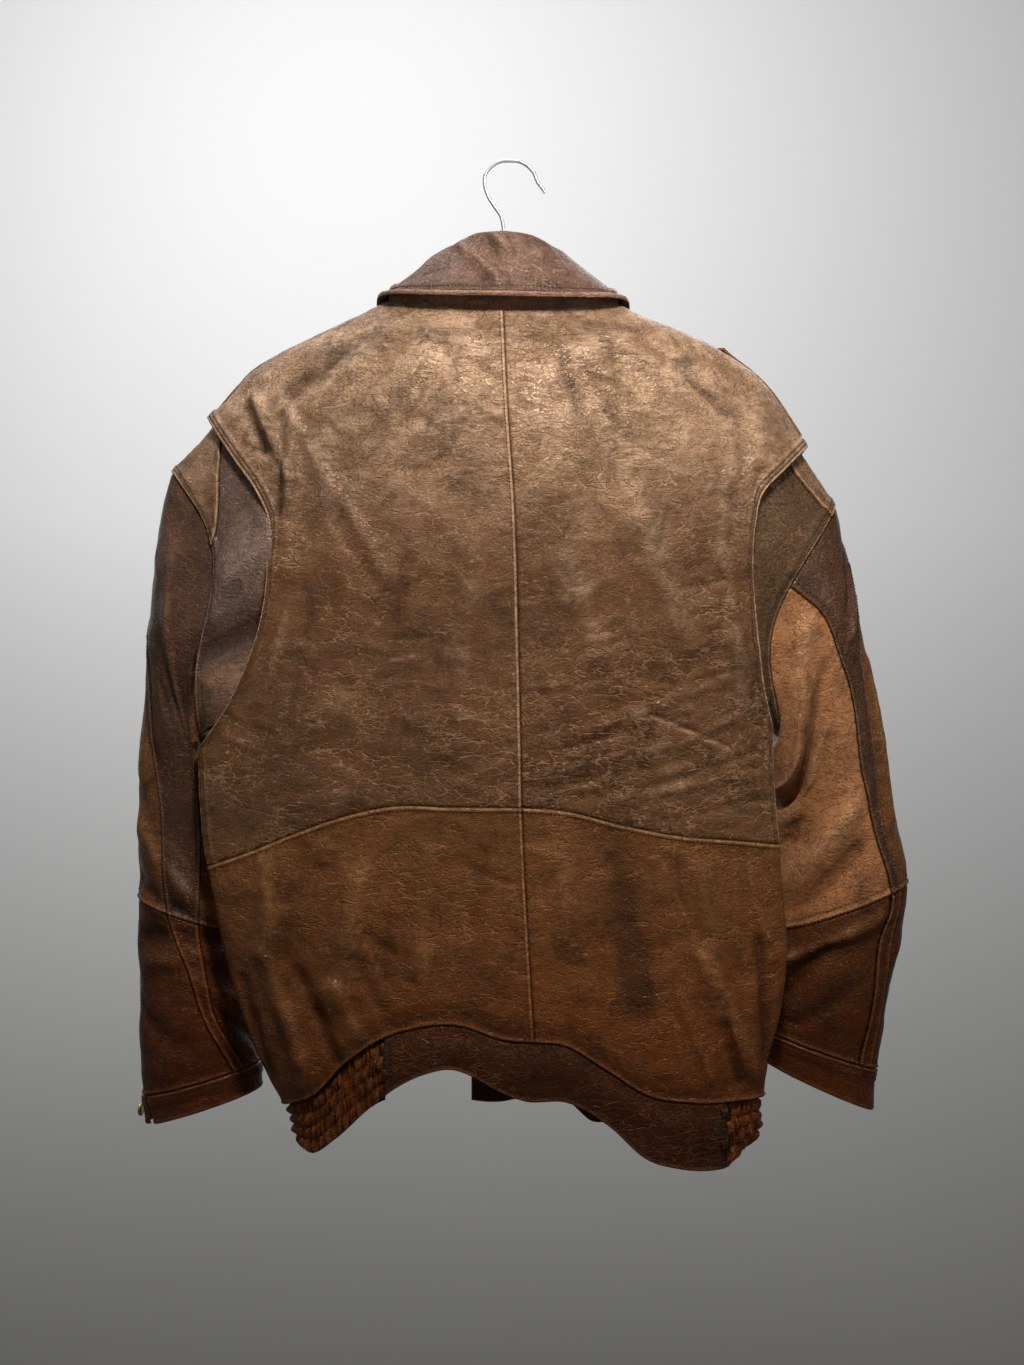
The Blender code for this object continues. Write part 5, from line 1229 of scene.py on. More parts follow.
def head_edge(side, turn):
    """The sleeve's head: a loop just under the body's armhole edge, and just over it at the armpit."""
    turn = turn % 1.0
    loop = np.empty(turn.shape + (3,))
    for face, here in ((BACK, turn <= 0.5), (FRONT, turn > 0.5)):
        t = np.where(here, 2 * turn if face == BACK else 2 - 2 * turn, 0.5)
        curve = armholes[face, side]
        x, drop = curve(t)[..., 0], curve(t)[..., 1]
        way = curve(np.minimum(t + 0.01, 1)) - curve(np.maximum(t - 0.01, 0))
        inward = unit(np.stack([-side * way[..., 1], side * way[..., 0]], axis=-1))
        behind = (0.5 + 0.5 * np.sin(2 * pi * turn)) ** 2 * (1 - near_armpit(turn, ARMPIT_LAP_REACH))
        lap = HEAD_LAP_FRONT + (HEAD_LAP_BACK - HEAD_LAP_FRONT) * behind
        x, drop = x + lap * inward[..., 0], drop + lap * inward[..., 1]
        over = near_armpit(turn, ARMPIT_OVER_REACH)[..., None]
        way = unit(over * np.array([0.0, 0.0, 1.0]) - (1 - over) * body_out(face, x, drop))
        loop[here] = (body_point(face, x, drop) + HEAD_UNDER * way)[here]
    return loop


def sleeve_head(side, turn, level):
    """The sleeve above its cap seam: level runs from 0 at the head to 1 at the cap seam."""
    turn = turn % 1.0
    lead = sum(amount * bell(turn - centre, reach) for centre, reach, amount in HEAD_LEAD)
    top, foot = head_edge(side, turn + lead), round_sleeve(side, turn, 0)
    swell = HEAD_SWELL * np.sin(2 * pi * turn) - ARMPIT_LIFT * near_armpit(turn, ARMPIT_LIFT_REACH)
    out = np.stack([0 * turn, -np.sin(2 * pi * turn), np.cos(2 * pi * turn)], axis=-1)
    return top + (foot - top) * level + out * (swell * sin(pi * level))[..., None]


def sleeve_at(side, turn, level):
    return sleeve_head(side, turn, level + 1) if level < 0 else round_sleeve(side, turn, level)


def turns_of(side, columns, level):
    """Where round the sleeve its columns are. Level -1 is the head and 0 the cap seam."""
    seams = sleeve_rows[side](max(level, 0))[8:]
    if level < 0:
        head = np.array([HEAD_SEAM_1, HEAD_DIVISION[side], HEAD_SEAM_2[side]])
        seams = seams + (head - seams) * -level
    knots = [0, OUTER_COLUMNS, CAP_COLUMNS, OUTER_COLUMNS + HIND_COLUMNS, RING]
    turns = [FRONT_SEAM, *seams, FRONT_SEAM + 1]
    return np.interp(columns % RING, knots, turns) + columns // RING


def sleeve_outs(side, turn, level):
    """The outward directions, from the ways down and round the sleeve, and steadied round the armpit."""
    round_way = sleeve_at(side, turn + TURN_STEP, level) - sleeve_at(side, turn - TURN_STEP, level)
    if level < 0:
        low, high = max(level - LEVEL_STEP, HEAD), level
    else:
        low, high = max(level - LEVEL_STEP, CAP_SEAM), min(level + LEVEL_STEP, CUFF_HEM)
    if high - low < LEVEL_STEP / 2:
        low, high = HEAD, HEAD + LEVEL_STEP
    out = unit(np.cross(round_way, sleeve_at(side, turn, high) - sleeve_at(side, turn, low)) * side)
    c, s = np.cos(2 * pi * turn), np.sin(2 * pi * turn)
    low_share = ease(level + 1)
    steady = unit(np.stack([side * c, -s, c * (1 - low_share) + TUBE_LEAN * low_share], axis=-1))
    if level <= 0:
        out = out * np.where(np.sum(out * steady, axis=-1, keepdims=True) > 0, 1, -1)
    inside = 0.5 - abs(turn % 1 - 0.5)
    calm = ease((inside - ARMPIT_FROM) / ARMPIT_SOFT) * (1 - ease((level - 0.5) / 1.5))
    return unit(out + (steady - out) * calm[..., None])


# %% The folds of the sleeves
SLEEVE_FOLDS = {
    # turn, level, turn, level, half_width, height
    LEFT: [
        (0.50, 1.6, 0.52, 5.6, 0.42, 0.0070), (0.19, -0.9, 0.22, -0.25, 0.22, 0.0060),
        (0.275, -1.0, 0.30, -0.1, 0.10, -0.0060), (0.34, -0.9, 0.37, -0.2, 0.20, 0.0040),
        (0.23, -0.8, 0.26, -0.3, 0.07, -0.0016), (0.16, -0.7, 0.20, -0.5, 0.06, -0.0014),
        (0.10, 5.0, 0.34, 5.5, 0.24, 0.0042), (0.06, 5.7, 0.30, 5.9, 0.16, -0.0036),
        (0.12, 6.5, 0.36, 6.2, 0.20, -0.0042), (0.16, 6.9, 0.40, 6.7, 0.16, 0.0034),
        (0.22, 2.2, 0.10, 4.2, 0.20, 0.0030), (0.30, 0.8, 0.20, 2.4, 0.16, -0.0030),
        (0.12, 0.6, 0.24, 1.8, 0.16, 0.0030), (0.05, 2.6, 0.14, 3.6, 0.14, -0.0024),
        (0.34, 3.2, 0.26, 4.6, 0.14, -0.0026), (0.28, 7.2, 0.44, 8.0, 0.18, 0.0040),
        (0.34, 7.8, 0.48, 8.5, 0.14, -0.0040), (0.08, 7.6, 0.22, 8.3, 0.14, -0.0026),
        (0.80, 4.8, 0.96, 5.5, 0.22, 0.0036), (0.76, 6.4, 0.94, 6.1, 0.20, -0.0034),
        (0.70, 2.0, 0.84, 3.4, 0.20, 0.0030),
    ],
    RIGHT: [
        # The first three are the bulge that lies against the body.
        (0.60, 0.0, 0.60, 5.6, 0.42, 0.0175), (0.50, 3.4, 0.50, 5.6, 0.42, 0.0072),
        (0.47, 0.1, 0.46, 1.6, 0.35, 0.0105),
        (0.22, 0.7, 0.42, 1.9, 0.20, 0.0046), (0.26, 1.6, 0.44, 2.8, 0.16, -0.0046),
        (0.30, 2.6, 0.40, 3.9, 0.16, 0.0036), (0.36, 3.4, 0.44, 4.6, 0.12, -0.0036),
        (0.20, 4.4, 0.40, 5.2, 0.22, 0.0046), (0.24, 5.2, 0.42, 5.7, 0.14, -0.0048),
        (0.18, 6.4, 0.38, 6.9, 0.20, 0.0044), (0.30, 6.8, 0.44, 7.8, 0.16, -0.0056),
        (0.40, 7.0, 0.46, 8.6, 0.14, 0.0046), (0.22, 7.6, 0.34, 8.5, 0.14, -0.0030),
        (0.02, 0.6, 0.10, 1.5, 0.10, -0.0026), (0.04, 1.1, 0.12, 2.0, 0.10, 0.0026),
        (0.05, 3.0, 0.10, 5.0, 0.12, 0.0024), (0.80, 4.6, 0.96, 5.4, 0.22, 0.0036),
        (0.74, 6.5, 0.92, 6.2, 0.20, -0.0034), (0.68, 1.8, 0.84, 3.0, 0.20, 0.0030),
    ],
}
# A turn is about as long as this many levels.
TURN_LENGTH, FOLD_DEPTH = 4.6, 1.25
# Below this drop the left gusset is the underarm's tan leather.
TAN_FROM, TAN_SOFT = 0.480, 0.012
# How dark the right under panel is in the shade of the body, at which turn and how far round.
UNDER_SHADE, SHADE_TURN, SHADE_REACH = 0.55, 0.54, 0.15
SLEEVE_FINISHES = {"gusset_left": "shiny_leather", "gusset_right": "gusset_leather"}


def sleeve_relief(side, cut, turns, levels):
    """The folds of one piece, and an unevenness in two sizes, both calmer along the seams."""
    folds = [(first * TURN_LENGTH, top, last * TURN_LENGTH, foot, width, height)
             for first, top, last, foot, width, height in SLEEVE_FOLDS[side]]
    lift = FOLD_DEPTH * ridges(turns * TURN_LENGTH, levels[None, :] + 0 * turns, folds)
    lift += 0.0022 * soft_noise(cut.points, 0.060, 4 + side)
    lift += 0.0008 * soft_noise(cut.points, 0.022, 8 + side)
    return lift * calm_at_edges(cut, 0.35, 0.016)


# %% One piece of a sleeve
def sleeve_grid(side, run, rows):
    """Over these columns and levels: how far round each place is, where it is and which way is outward."""
    turns = np.array([turns_of(side, run, level) for level in rows]).T
    points = np.array([sleeve_at(side, turns[:, k], level) for k, level in enumerate(rows)]).swapaxes(0, 1)
    outs = np.array([sleeve_outs(side, turns[:, k], level) for k, level in enumerate(rows)]).swapaxes(0, 1)
    return turns, points, outs


def sleeve_marks(node, cut, turns):
    """The under panel's shade on the right, and where the left gusset turns tan."""
    shade = UNDER_SHADE * bell(turns - SHADE_TURN, SHADE_REACH) if node == "sleeve_under_right" else 0.0
    if node != "gusset_left":
        return {"stain": shade}
    wander = TAN_SOFT * soft_noise(cut.points, 0.02, 14)
    return {"stain": shade, "tan": ease((-cut.points[..., 2] - TAN_FROM + wander) / TAN_SOFT)}


def sleeve_piece(node, tone, side, columns, levels, edges, lengths, seed):
    """columns and levels are the piece's first and last ones, and lengths its size round and down."""
    rows = levels[0] + (levels[1] - levels[0]) * stations(lengths[1])
    run = columns[0] + (columns[1] - columns[0]) * stations(lengths[0])
    turns, points, outs = sleeve_grid(side, run, rows)
    cut = Cut(points, outs, outs)
    finish = SLEEVE_FINISHES.get(node, "cuff_leather" if node.startswith("forearm") else tone)
    sew_sheet(node, tone, cut, edges, sleeve_relief(side, cut, turns, rows), seed=seed,
              finish=finish, marks=sleeve_marks(node, cut, turns))


def sleeve(side, label):
    """Sews the eight pieces of a sleeve, from the shoulder cap down to the forearm."""
    outer, hind = (0, OUTER_COLUMNS), (OUTER_COLUMNS, OUTER_COLUMNS + HIND_COLUMNS)
    under = (hind[1], RING)
    upper, fore = (CAP_SEAM, ELBOW), (ELBOW, CUFF_SEAM)
    gusset_tone = "leather_dark" if side == LEFT else "leather_olive"
    under_tone = "leather_brown" if side == LEFT else "leather_tan"
    shell = {"start": UNDER, "end": UNDER, "top": UNDER, "foot": RIDGE}
    lapped = {"start": RIDGE, "end": RIDGE, "top": UNDER, "foot": RIDGE}
    head = {"start": PLAIN, "end": OVER, "top": UNDER, "foot": OVER}
    body = ["back_upper_" + label]
    seed = 20 + 20 * side
    pieces = [
        ("shoulder_cap_", "leather_olive", (0, CAP_COLUMNS), (HEAD, CAP_SEAM), head, (0.22, 0.06), body),
        ("gusset_", gusset_tone, (CAP_COLUMNS, RING), (HEAD, CAP_SEAM),
         {**head, "start": UNDER, "end": PLAIN}, (0.30, 0.06), body),
        ("sleeve_outer_", "leather_brown", outer, upper, shell, (0.13, 0.36), ["shoulder_cap_" + label]),
        ("sleeve_hind_", "leather_dark", hind, upper, lapped, (0.16, 0.36), ["shoulder_cap_" + label]),
        ("sleeve_under_", under_tone, under, upper, shell, (0.17, 0.30), ["gusset_" + label]),
        ("forearm_outer_", "leather_brown", outer, fore, shell, (0.12, 0.19), ["sleeve_outer_" + label]),
        ("forearm_hind_", "leather_brown", hind, fore, lapped, (0.04, 0.17), ["sleeve_hind_" + label]),
        ("forearm_under_", under_tone, under, fore, shell, (0.14, 0.14), ["sleeve_under_" + label]),
    ]
    for order, (stem, tone, columns, levels, edges, lengths, rests_on) in enumerate(pieces):
        sleeve_piece(stem + label, tone, side, columns, levels, edges, lengths, seed + order)


for side, label in SIDES:
    sleeve(side, label)

# %% [markdown]
# ## The cuffs
# A cuff is one strip that meets at a slit, where a snap closes it. The strip is on the same surface as the
# sleeve. Its ends are drawn apart along the slit.

# %% The cuffs
SLIT_COLUMN, CUFF_MIDDLE = 3, (CUFF_SEAM + CUFF_HEM) / 2
CUFF_ROUND, CUFF_WIDE, CUFF_STEP = 0.26, 0.034, 0.0022
# Half the slit's opening at the cuff's seam, its middle and its hem, and how far round it draws the leather.
SLIT_HALF, SLIT_REACH = (0.0014, 0.0025, 0.0056), 0.012


def cuff(side, label):
    rows = CUFF_SEAM + (CUFF_HEM - CUFF_SEAM) * stations(CUFF_WIDE, CUFF_STEP)
    _, points, outs = sleeve_grid(side, SLIT_COLUMN + RING * stations(CUFF_ROUND), rows)
    opening = np.interp(rows, [CUFF_SEAM, CUFF_MIDDLE, CUFF_HEM], SLIT_HALF)[None, :, None]
    cut = Cut(points, outs, outs)
    for end, inner, edge in ((0, 10, "start"), (-1, -11, "end")):
        way = unit(points[inner] - points[end])[None]
        points = points + way * opening * bell(cut.away[edge], SLIT_REACH)[..., None]
    cut = Cut(points, outs, outs)
    edges = {"start": FREE, "end": FREE, "top": OVER, "foot": FREE}
    relief = 0.0007 * soft_noise(points, 0.030, 30 + side) * ease(cut.away["top"] / 0.008)
    sew_sheet("cuff_" + label, "leather_brown", cut, edges, relief,
              seed=60 + side, finish="cuff_leather")


for side, label in SIDES:
    cuff(side, label)

# %% [markdown]
# ## The waistband
# The band is plain across the back and along each front, and gathered on elastic at both sides. Three rows
# of stitches hold the elastic, and the leather puffs between them. The puffs could be left to a bump, but
# they make the band's outline, so they are in the mesh.

# %% The plain lengths of the band
BAND_SEAMS = {BACK: (waist_back, hem_back), FRONT: (waist_front, hem_front)}


def band_cut(face, xs, rows):
    x, down = xs[:, None], rows[None, :]
    waist, hem = BAND_SEAMS[face]
    drop = waist(x)[..., 0] + (hem(x)[..., 0] - waist(x)[..., 0]) * down
    x = x + 0 * drop
    return Cut(body_point(face, x, drop), np.array([0.0, face, 0.0]), body_out(face, x, drop))


# Rows of stitches along the band's hem and at the ends that hold the elastic.
HEM_ROW, END_ROWS = 0.0035, (0.0020, 0.0045, 0.0070, 0.0095)
BAND_WIDE, BAND_STEP = 0.045, 0.0024


def band(name, face, start_x, end_x):
    xs = start_x + (end_x - start_x) * stations(abs(end_x - start_x))
    cut = band_cut(face, xs, stations(BAND_WIDE, BAND_STEP))
    free = face == FRONT
    edges = {"start": FREE if free else UNDER, "end": UNDER, "top": UNDER, "foot": FREE}
    relief = 0.0008 * soft_noise(cut.points, 0.040, 41) * ease(cut.away["top"] / 0.01)
    ends = () if free else (("start", *END_ROWS), ("end", *END_ROWS))
    sew_sheet(name, "leather_brown", cut, edges, relief, seed=70 + face,
              finish="band_leather", sewn=(("foot", HEM_ROW), *ends))


band("waistband_back", BACK, BAND_ENDS[BACK][LEFT], BAND_ENDS[BACK][RIGHT])
for side, label in SIDES:
    band("waistband_front_" + label, FRONT, FRONT_EDGE[side][-1][0], BAND_ENDS[FRONT][side])

# %% The gathered ends
ELASTIC_UNDER, ELASTIC_BELOW = 0.0035, 0.0012
PUFF, PUFF_MIDDLE, GATHER_LENGTH, PUFF_ROWS = 0.0058, 0.42, 0.0082, 4
ELASTIC_ROUND, ELASTIC_STEP, ELASTIC_WIDE, ELASTIC_ROW_STEP = 0.30, 0.0016, 0.042, 0.0014
# Near its ends the elastic comes up to the plain band, and round the side edge both faces share one drop.
END_SHARE, SIDE_SHARE = 0.15, 0.04


def elastic_surface(side, shares, rows):
    """A gathered end: shares run from the back, round the side edge at a half, to the front."""
    t, down = shares[:, None], rows[None, :]
    top = WAIST_DROP[side] + ELASTIC_BELOW
    edge_drop = top + (float(hem_back(side)[0]) - top) * down
    edge_x = side_x(side, edge_drop)
    points = np.empty((len(shares), len(rows), 3))
    outs = np.empty_like(points)
    for face, here in ((BACK, shares < 0.5), (FRONT, shares >= 0.5)):
        share = abs(t - 0.5) * 2
        x = edge_x + (BAND_ENDS[face][side] - edge_x) * (1 - np.cos(pi / 2 * share))
        waist, hem = BAND_SEAMS[face]
        high = waist(x)[..., 0] + ELASTIC_BELOW
        drop = high + (hem(x)[..., 0] - high) * down
        drop = drop + (edge_drop - drop) * np.maximum(0, 1 - share / SIDE_SHARE)
        place, out = body_point(face, x, drop), body_out(face, x, drop)
        under = ELASTIC_UNDER * np.minimum(1.0, (1 - share) / END_SHARE) + 0 * drop
        points[here], outs[here] = (place - out * under[..., None])[here], out[here]
    return points, outs


def puffs(cut, rows, seed):
    """Uneven gathers between the rows of stitches. Those of each row wander a little from the row above."""
    along = cut.across
    lift = 0 * along
    bulge = abs(np.sin(pi * PUFF_ROWS * rows))[None, :] ** 0.6
    for k in range(PUFF_ROWS):
        here = ((rows >= k / PUFF_ROWS) & (rows <= (k + 1) / PUFF_ROWS))[None, :]
        wander = 0.0034 * np.sin(2 * pi * along / 0.041 + k + seed)
        wander += 0.0022 * np.sin(2 * pi * along / 0.019 + 2 * k)
        lean = 0.0018 * np.sin(3 * pi * rows + k)[None, :]
        wave = 0.5 + 0.5 * np.sin(2 * pi * (along + wander + lean) / GATHER_LENGTH + 1.9 * k)
        tall = 0.80 + 0.20 * np.sin(2 * pi * along / 0.031 + 3 * k + seed)
        lift = np.where(here, bulge * (0.12 + 0.88 * wave**1.2) * tall, lift)
    return PUFF * (lift - PUFF_MIDDLE)


def elastic(side, label):
    shares, rows = stations(ELASTIC_ROUND, ELASTIC_STEP), stations(ELASTIC_WIDE, ELASTIC_ROW_STEP)
    points, outs = elastic_surface(side, shares, rows)
    cut = Cut(points, outs, outs)
    relief = puffs(cut, rows, 3 * side)
    edges = {"start": UNDER, "end": UNDER, "top": UNDER, "foot": PLAIN}
    sew_sheet("waistband_elastic_" + label, "leather_dark", cut, edges, relief,
              seed=80 + side,
              finish="gathered_leather")


for side, label in SIDES:
    elastic(side, label)

# %% [markdown]
# ## The collar
# The collar is cut as a stand, which rises from the neck seam, and a leaf, which rolls over it and falls
# outside. Both are on one surface that runs round the neck: up from the seam, round the fold, and down to
# the leaf's edge.

# %% The collar's surface
COLLAR_X, COLLAR_TILT, COLLAR_ROLL, STAND_RISE, STATION_STEP = -0.0065, 0.017, 0.0050, 0.72, 0.02
COLLAR = [
    # station, fold_x, fold_y, fold_drop, edge_x, edge_y, edge_drop
    (0.000, 0.000, -0.033, 0.0785, 0.000, -0.075, 0.145),
    (0.125, 0.022, -0.031, 0.0815, 0.038, -0.074, 0.145),
    (0.250, 0.040, -0.023, 0.0905, 0.075, -0.066, 0.143),
    (0.375, 0.051, -0.012, 0.095, 0.106, -0.043, 0.138),
    (0.500, 0.054, 0.000, 0.101, 0.121, -0.002, 0.1345),
    (0.625, 0.051, 0.015, 0.112, 0.120, 0.030, 0.150),
    (0.750, 0.044, 0.033, 0.132, 0.112, 0.052, 0.184),
    (0.875, 0.037, 0.047, 0.158, 0.097, 0.062, 0.222),
    (1.000, 0.034, 0.055, 0.186, 0.078, 0.064, 0.247),
]
collar_row = curve_through(COLLAR)


def neck_ring(side, station):
    """The neck seam, from the middle of the back (0) to the front end (1), just under the body's leather."""
    ring = np.empty(station.shape + (3,))
    for face, here in ((BACK, station <= 0.5), (FRONT, station > 0.5)):
        t = np.where(here, 2 * station if face == BACK else 2 - 2 * station, 0.5)
        place = necks[face, side](t)
        point = body_point(face, place[..., 0], place[..., 1])
        ring[here] = (point - body_out(face, place[..., 0], place[..., 1]) * LEATHER)[here]
    return ring


def collar_line(side, station, columns):
    x, y, drop = (collar_row(station)[..., i] for i in columns)
    return np.stack([COLLAR_X + side * x, y, -drop - side * COLLAR_TILT * x], axis=-1)


def collar_side(side, station, levels):
    """One side of the collar: level 0 is the neck seam, 1 the top of its fold and 2 the edge of its leaf."""
    seam = neck_ring(side, station)
    fold, edge = collar_line(side, station, (0, 1, 2)), collar_line(side, station, (3, 4, 5))
    along = collar_line(side, np.minimum(station + STATION_STEP, 1), (0, 1, 2))
    along = unit(along - collar_line(side, np.maximum(station - STATION_STEP, 0), (0, 1, 2)))
    along = np.where(station[:, None] > 0, along, np.array([1.0, 0, 0]))
    ways = [target - fold for target in (seam, edge)]
    to_seam, to_edge = (unit(way - along * np.sum(way * along, axis=-1, keepdims=True)) for way in ways)
    lift, outward = -unit(to_seam + to_edge), unit(to_edge - to_seam)
    inner = fold - lift * COLLAR_ROLL
    outer = inner + outward * 2 * COLLAR_ROLL
    points = []
    for level in levels:
        if level <= STAND_RISE:
            points.append(seam + (inner - seam) * level / STAND_RISE)
        elif level >= 2 - STAND_RISE:
            points.append(outer + (edge - outer) * (level - (2 - STAND_RISE)) / STAND_RISE)
        else:
            angle = pi * (level - STAND_RISE) / (2 - 2 * STAND_RISE)
            points.append((inner + outer) / 2 + COLLAR_ROLL * (lift * sin(angle) - outward * cos(angle)))
    return np.array(points).swapaxes(0, 1)


def collar_points(shares, levels):
    """The whole collar: share 0 is its left front end, a half the middle of the back, 1 its right end."""
    station = abs(2 * shares - 1)
    left, right = collar_side(LEFT, station, levels), collar_side(RIGHT, station, levels)
    return np.where((shares < 0.5)[:, None, None], left, right)


# %% The stand and the leaf
COLLAR_CREASES = [
    # share, level, share, level, half_width, height
    (0.435, 1.14, 0.480, 1.34, 0.0050, 0.0026), (0.430, 1.22, 0.485, 1.46, 0.0040, -0.0026),
    (0.470, 1.24, 0.515, 1.48, 0.0040, 0.0024), (0.505, 1.18, 0.560, 1.38, 0.0045, -0.0024),
    (0.512, 1.22, 0.575, 1.50, 0.0045, 0.0030), (0.560, 1.20, 0.600, 1.46, 0.0040, -0.0020),
    (0.395, 1.24, 0.425, 1.60, 0.0045, 0.0022), (0.410, 1.20, 0.440, 1.48, 0.0035, -0.0018),
    (0.452, 1.50, 0.500, 1.58, 0.0030, -0.0016), (0.530, 1.56, 0.590, 1.50, 0.0030, 0.0016),
    (0.600, 1.16, 0.622, 1.62, 0.0050, 0.0024), (0.372, 1.24, 0.388, 1.64, 0.0045, -0.0022),
    (0.400, 1.30, 0.490, 1.78, 0.0040, 0.0024), (0.396, 1.40, 0.480, 1.86, 0.0035, -0.0020),
    (0.500, 1.60, 0.580, 1.78, 0.0035, 0.0020),
    (0.300, 1.20, 0.330, 1.60, 0.0060, 0.0024), (0.680, 1.24, 0.700, 1.62, 0.0060, -0.0022),
    (0.200, 1.24, 0.240, 1.56, 0.0060, -0.0020), (0.770, 1.20, 0.800, 1.60, 0.0060, 0.0024),
]
COLLAR_LENGTH, COLLAR_STEP, LEVEL_LENGTH = 0.62, 0.0026, 0.055
LEAF_WIDE, LEAF_STEP, LEAF_THICK, STAND_WIDE, STAND_STEP = 0.075, 0.0022, 0.0026, 0.06, 0.0030
# The leaf's edge is rounded, with a dip behind it: height, place and reach of each.
LEAF_EDGE = (0.0026, 0.0030, 0.0028), (-0.0016, 0.0085, 0.0022)
LEAF_ROWS = 0.0075, 0.0125
LEAF_CREASE_DEPTH, FOLD_END, FOLD_SOFT = 1.5, 1.24, 0.14
# The stand swells out just above the neck seam.
STAND_SWELL, SWELL_AT, SWELL_REACH, SWELL_FROM = 0.0115, 0.15, 0.12, 0.10
FREE_ENDS = {"start": FREE, "end": FREE, "top": PLAIN}


def leaf_relief(cut, shares, levels):
    """The leaf's creases, strongest at the middle of the back and none on the fold, and its rounded edge."""
    runs = shares[:, None] * COLLAR_LENGTH, levels * LEVEL_LENGTH
    grid = [np.broadcast_to(run, cut.across.shape) for run in runs]
    scale = np.array([COLLAR_LENGTH, LEVEL_LENGTH, COLLAR_LENGTH, LEVEL_LENGTH, 1, 1])
    creases = [tuple(scale * crease) for crease in COLLAR_CREASES]
    uneven = 0.0012 * soft_noise(cut.points, 0.030, 51) + 0.0005 * soft_noise(cut.points, 0.012, 52)
    fallen = ease((levels - FOLD_END) / FOLD_SOFT)[None, :] * partly(bell(shares - 0.5, 0.075), 0.35)[:, None]
    to_edge = cut.away["foot"]
    relief = (LEAF_CREASE_DEPTH * ridges(*grid, creases) + uneven) * partly(ease(to_edge / 0.014), 0.3)
    relief = relief * partly(fallen, 0.08)
    rounding = sum(height * bell(to_edge - place, reach) for height, place, reach in LEAF_EDGE)
    return relief + rounding


def collar():
    away_from_neck = np.array([1.0, 1.0, 0.0])
    shares = stations(COLLAR_LENGTH, COLLAR_STEP)
    levels = STAND_RISE + (2 - STAND_RISE) * stations(LEAF_WIDE, LEAF_STEP)
    points = collar_points(shares, levels)
    cut = Cut(points, points * away_from_neck)
    relief = leaf_relief(cut, shares, levels)
    sew_sheet("collar_leaf", "leather_dark", cut, {**FREE_ENDS, "foot": FREE}, relief, seed=91,
              thickness=LEAF_THICK, finish="collar_leather",
              sewn=(("foot", *LEAF_ROWS),))
    levels = STAND_RISE * stations(STAND_WIDE, STAND_STEP)
    points = collar_points(shares, levels)
    cut = Cut(points, points * away_from_neck)
    swell = STAND_SWELL * bell(levels - SWELL_AT, SWELL_REACH) * ease(levels / SWELL_FROM)
    relief = 0.0008 * soft_noise(points, 0.02, 53) + swell[None, :]
    # The stand's finish is painted lighter, as if lit under the leaf.
    sew_sheet("collar_stand", "leather_dark", cut, {**FREE_ENDS, "foot": PLAIN}, relief, seed=92,
              finish="stand_leather_painted_light")


collar()

# %% [markdown]
# ## The zip
# A tape is sewn under each front edge, and its teeth stand along the tape's free edge. A tooth is a small
# bevelled block, so one is modelled from a cube and then copied down the tape.

# %% Tapes
ZIP_TOP, ZIP_FOOT = 0.206, 0.838
TAPE_UNDER, TAPE_OUT, TAPE_BELOW, SEAM_GAP = 0.009, 0.007, 0.0012, 0.0003
SLIDER_DROP, RETAINER_DROP = 0.013, 0.010
TAPE_WIDE, TAPE_STEP, TAPE_LONG, TAPE_ROW_STEP = 0.016, 0.004, 0.63, 0.010


def tape(side, label):
    u = stations(TAPE_WIDE, TAPE_STEP)[:, None]
    drop = (ZIP_TOP + (ZIP_FOOT - ZIP_TOP) * stations(TAPE_LONG, TAPE_ROW_STEP))[None, :]
    x = edge_by_drop[side](drop)[..., 0] + side * (TAPE_UNDER - (TAPE_UNDER + TAPE_OUT) * u)
    drop = drop + 0 * x
    outs = body_out(FRONT, x, drop)
    cut = Cut(body_point(FRONT, x, drop) - outs * (LEATHER + TAPE_BELOW), outs, outs)
    edges = dict.fromkeys(EDGE_NAMES, PLAIN)
    sew_sheet("zip_tape_" + label, "zip_cloth", cut, edges, thickness=TAPE)


for side, label in SIDES:
    tape(side, label)

# %% Teeth
TOOTH, TOOTH_PITCH, TOOTH_BEVEL, FIRST_TOOTH = (0.0042, 0.0026, 0.0013), 0.0026, 0.00025, 0.001


def tooth_block():
    """One tooth: a cube drawn out, with its edges bevelled."""
    bpy.ops.object.select_all(action="DESELECT")
    bpy.ops.mesh.primitive_cube_add(size=1, scale=TOOTH)
    bpy.ops.object.transform_apply(scale=True)
    bpy.ops.object.mode_set(mode="EDIT")
    bpy.ops.mesh.select_all(action="SELECT")
    bpy.ops.mesh.bevel(offset=TOOTH_BEVEL, segments=1, affect="EDGES")
    bpy.ops.mesh.normals_make_consistent(inside=False)
    bpy.ops.object.mode_set(mode="OBJECT")
    return bpy.context.object


def copies(name, master, places):
    """One object made of a master's copies, each with its own turn and place."""
    count = len(master.data.vertices)
    corners = np.array([vertex.co for vertex in master.data.vertices])
    faces = [list(polygon.vertices) for polygon in master.data.polygons]
    vertices = np.concatenate([corners @ np.array(turn).T + place for turn, place in places])
    all_faces = [[k * count + v for v in face] for k in range(len(places)) for face in faces]
    data = bpy.data.meshes.new(name)
    data.from_pydata(vertices.tolist(), [], all_faces)
    data.update()
    piece = bpy.data.objects.new(name, data)
    bpy.context.scene.collection.objects.link(piece)
    return piece


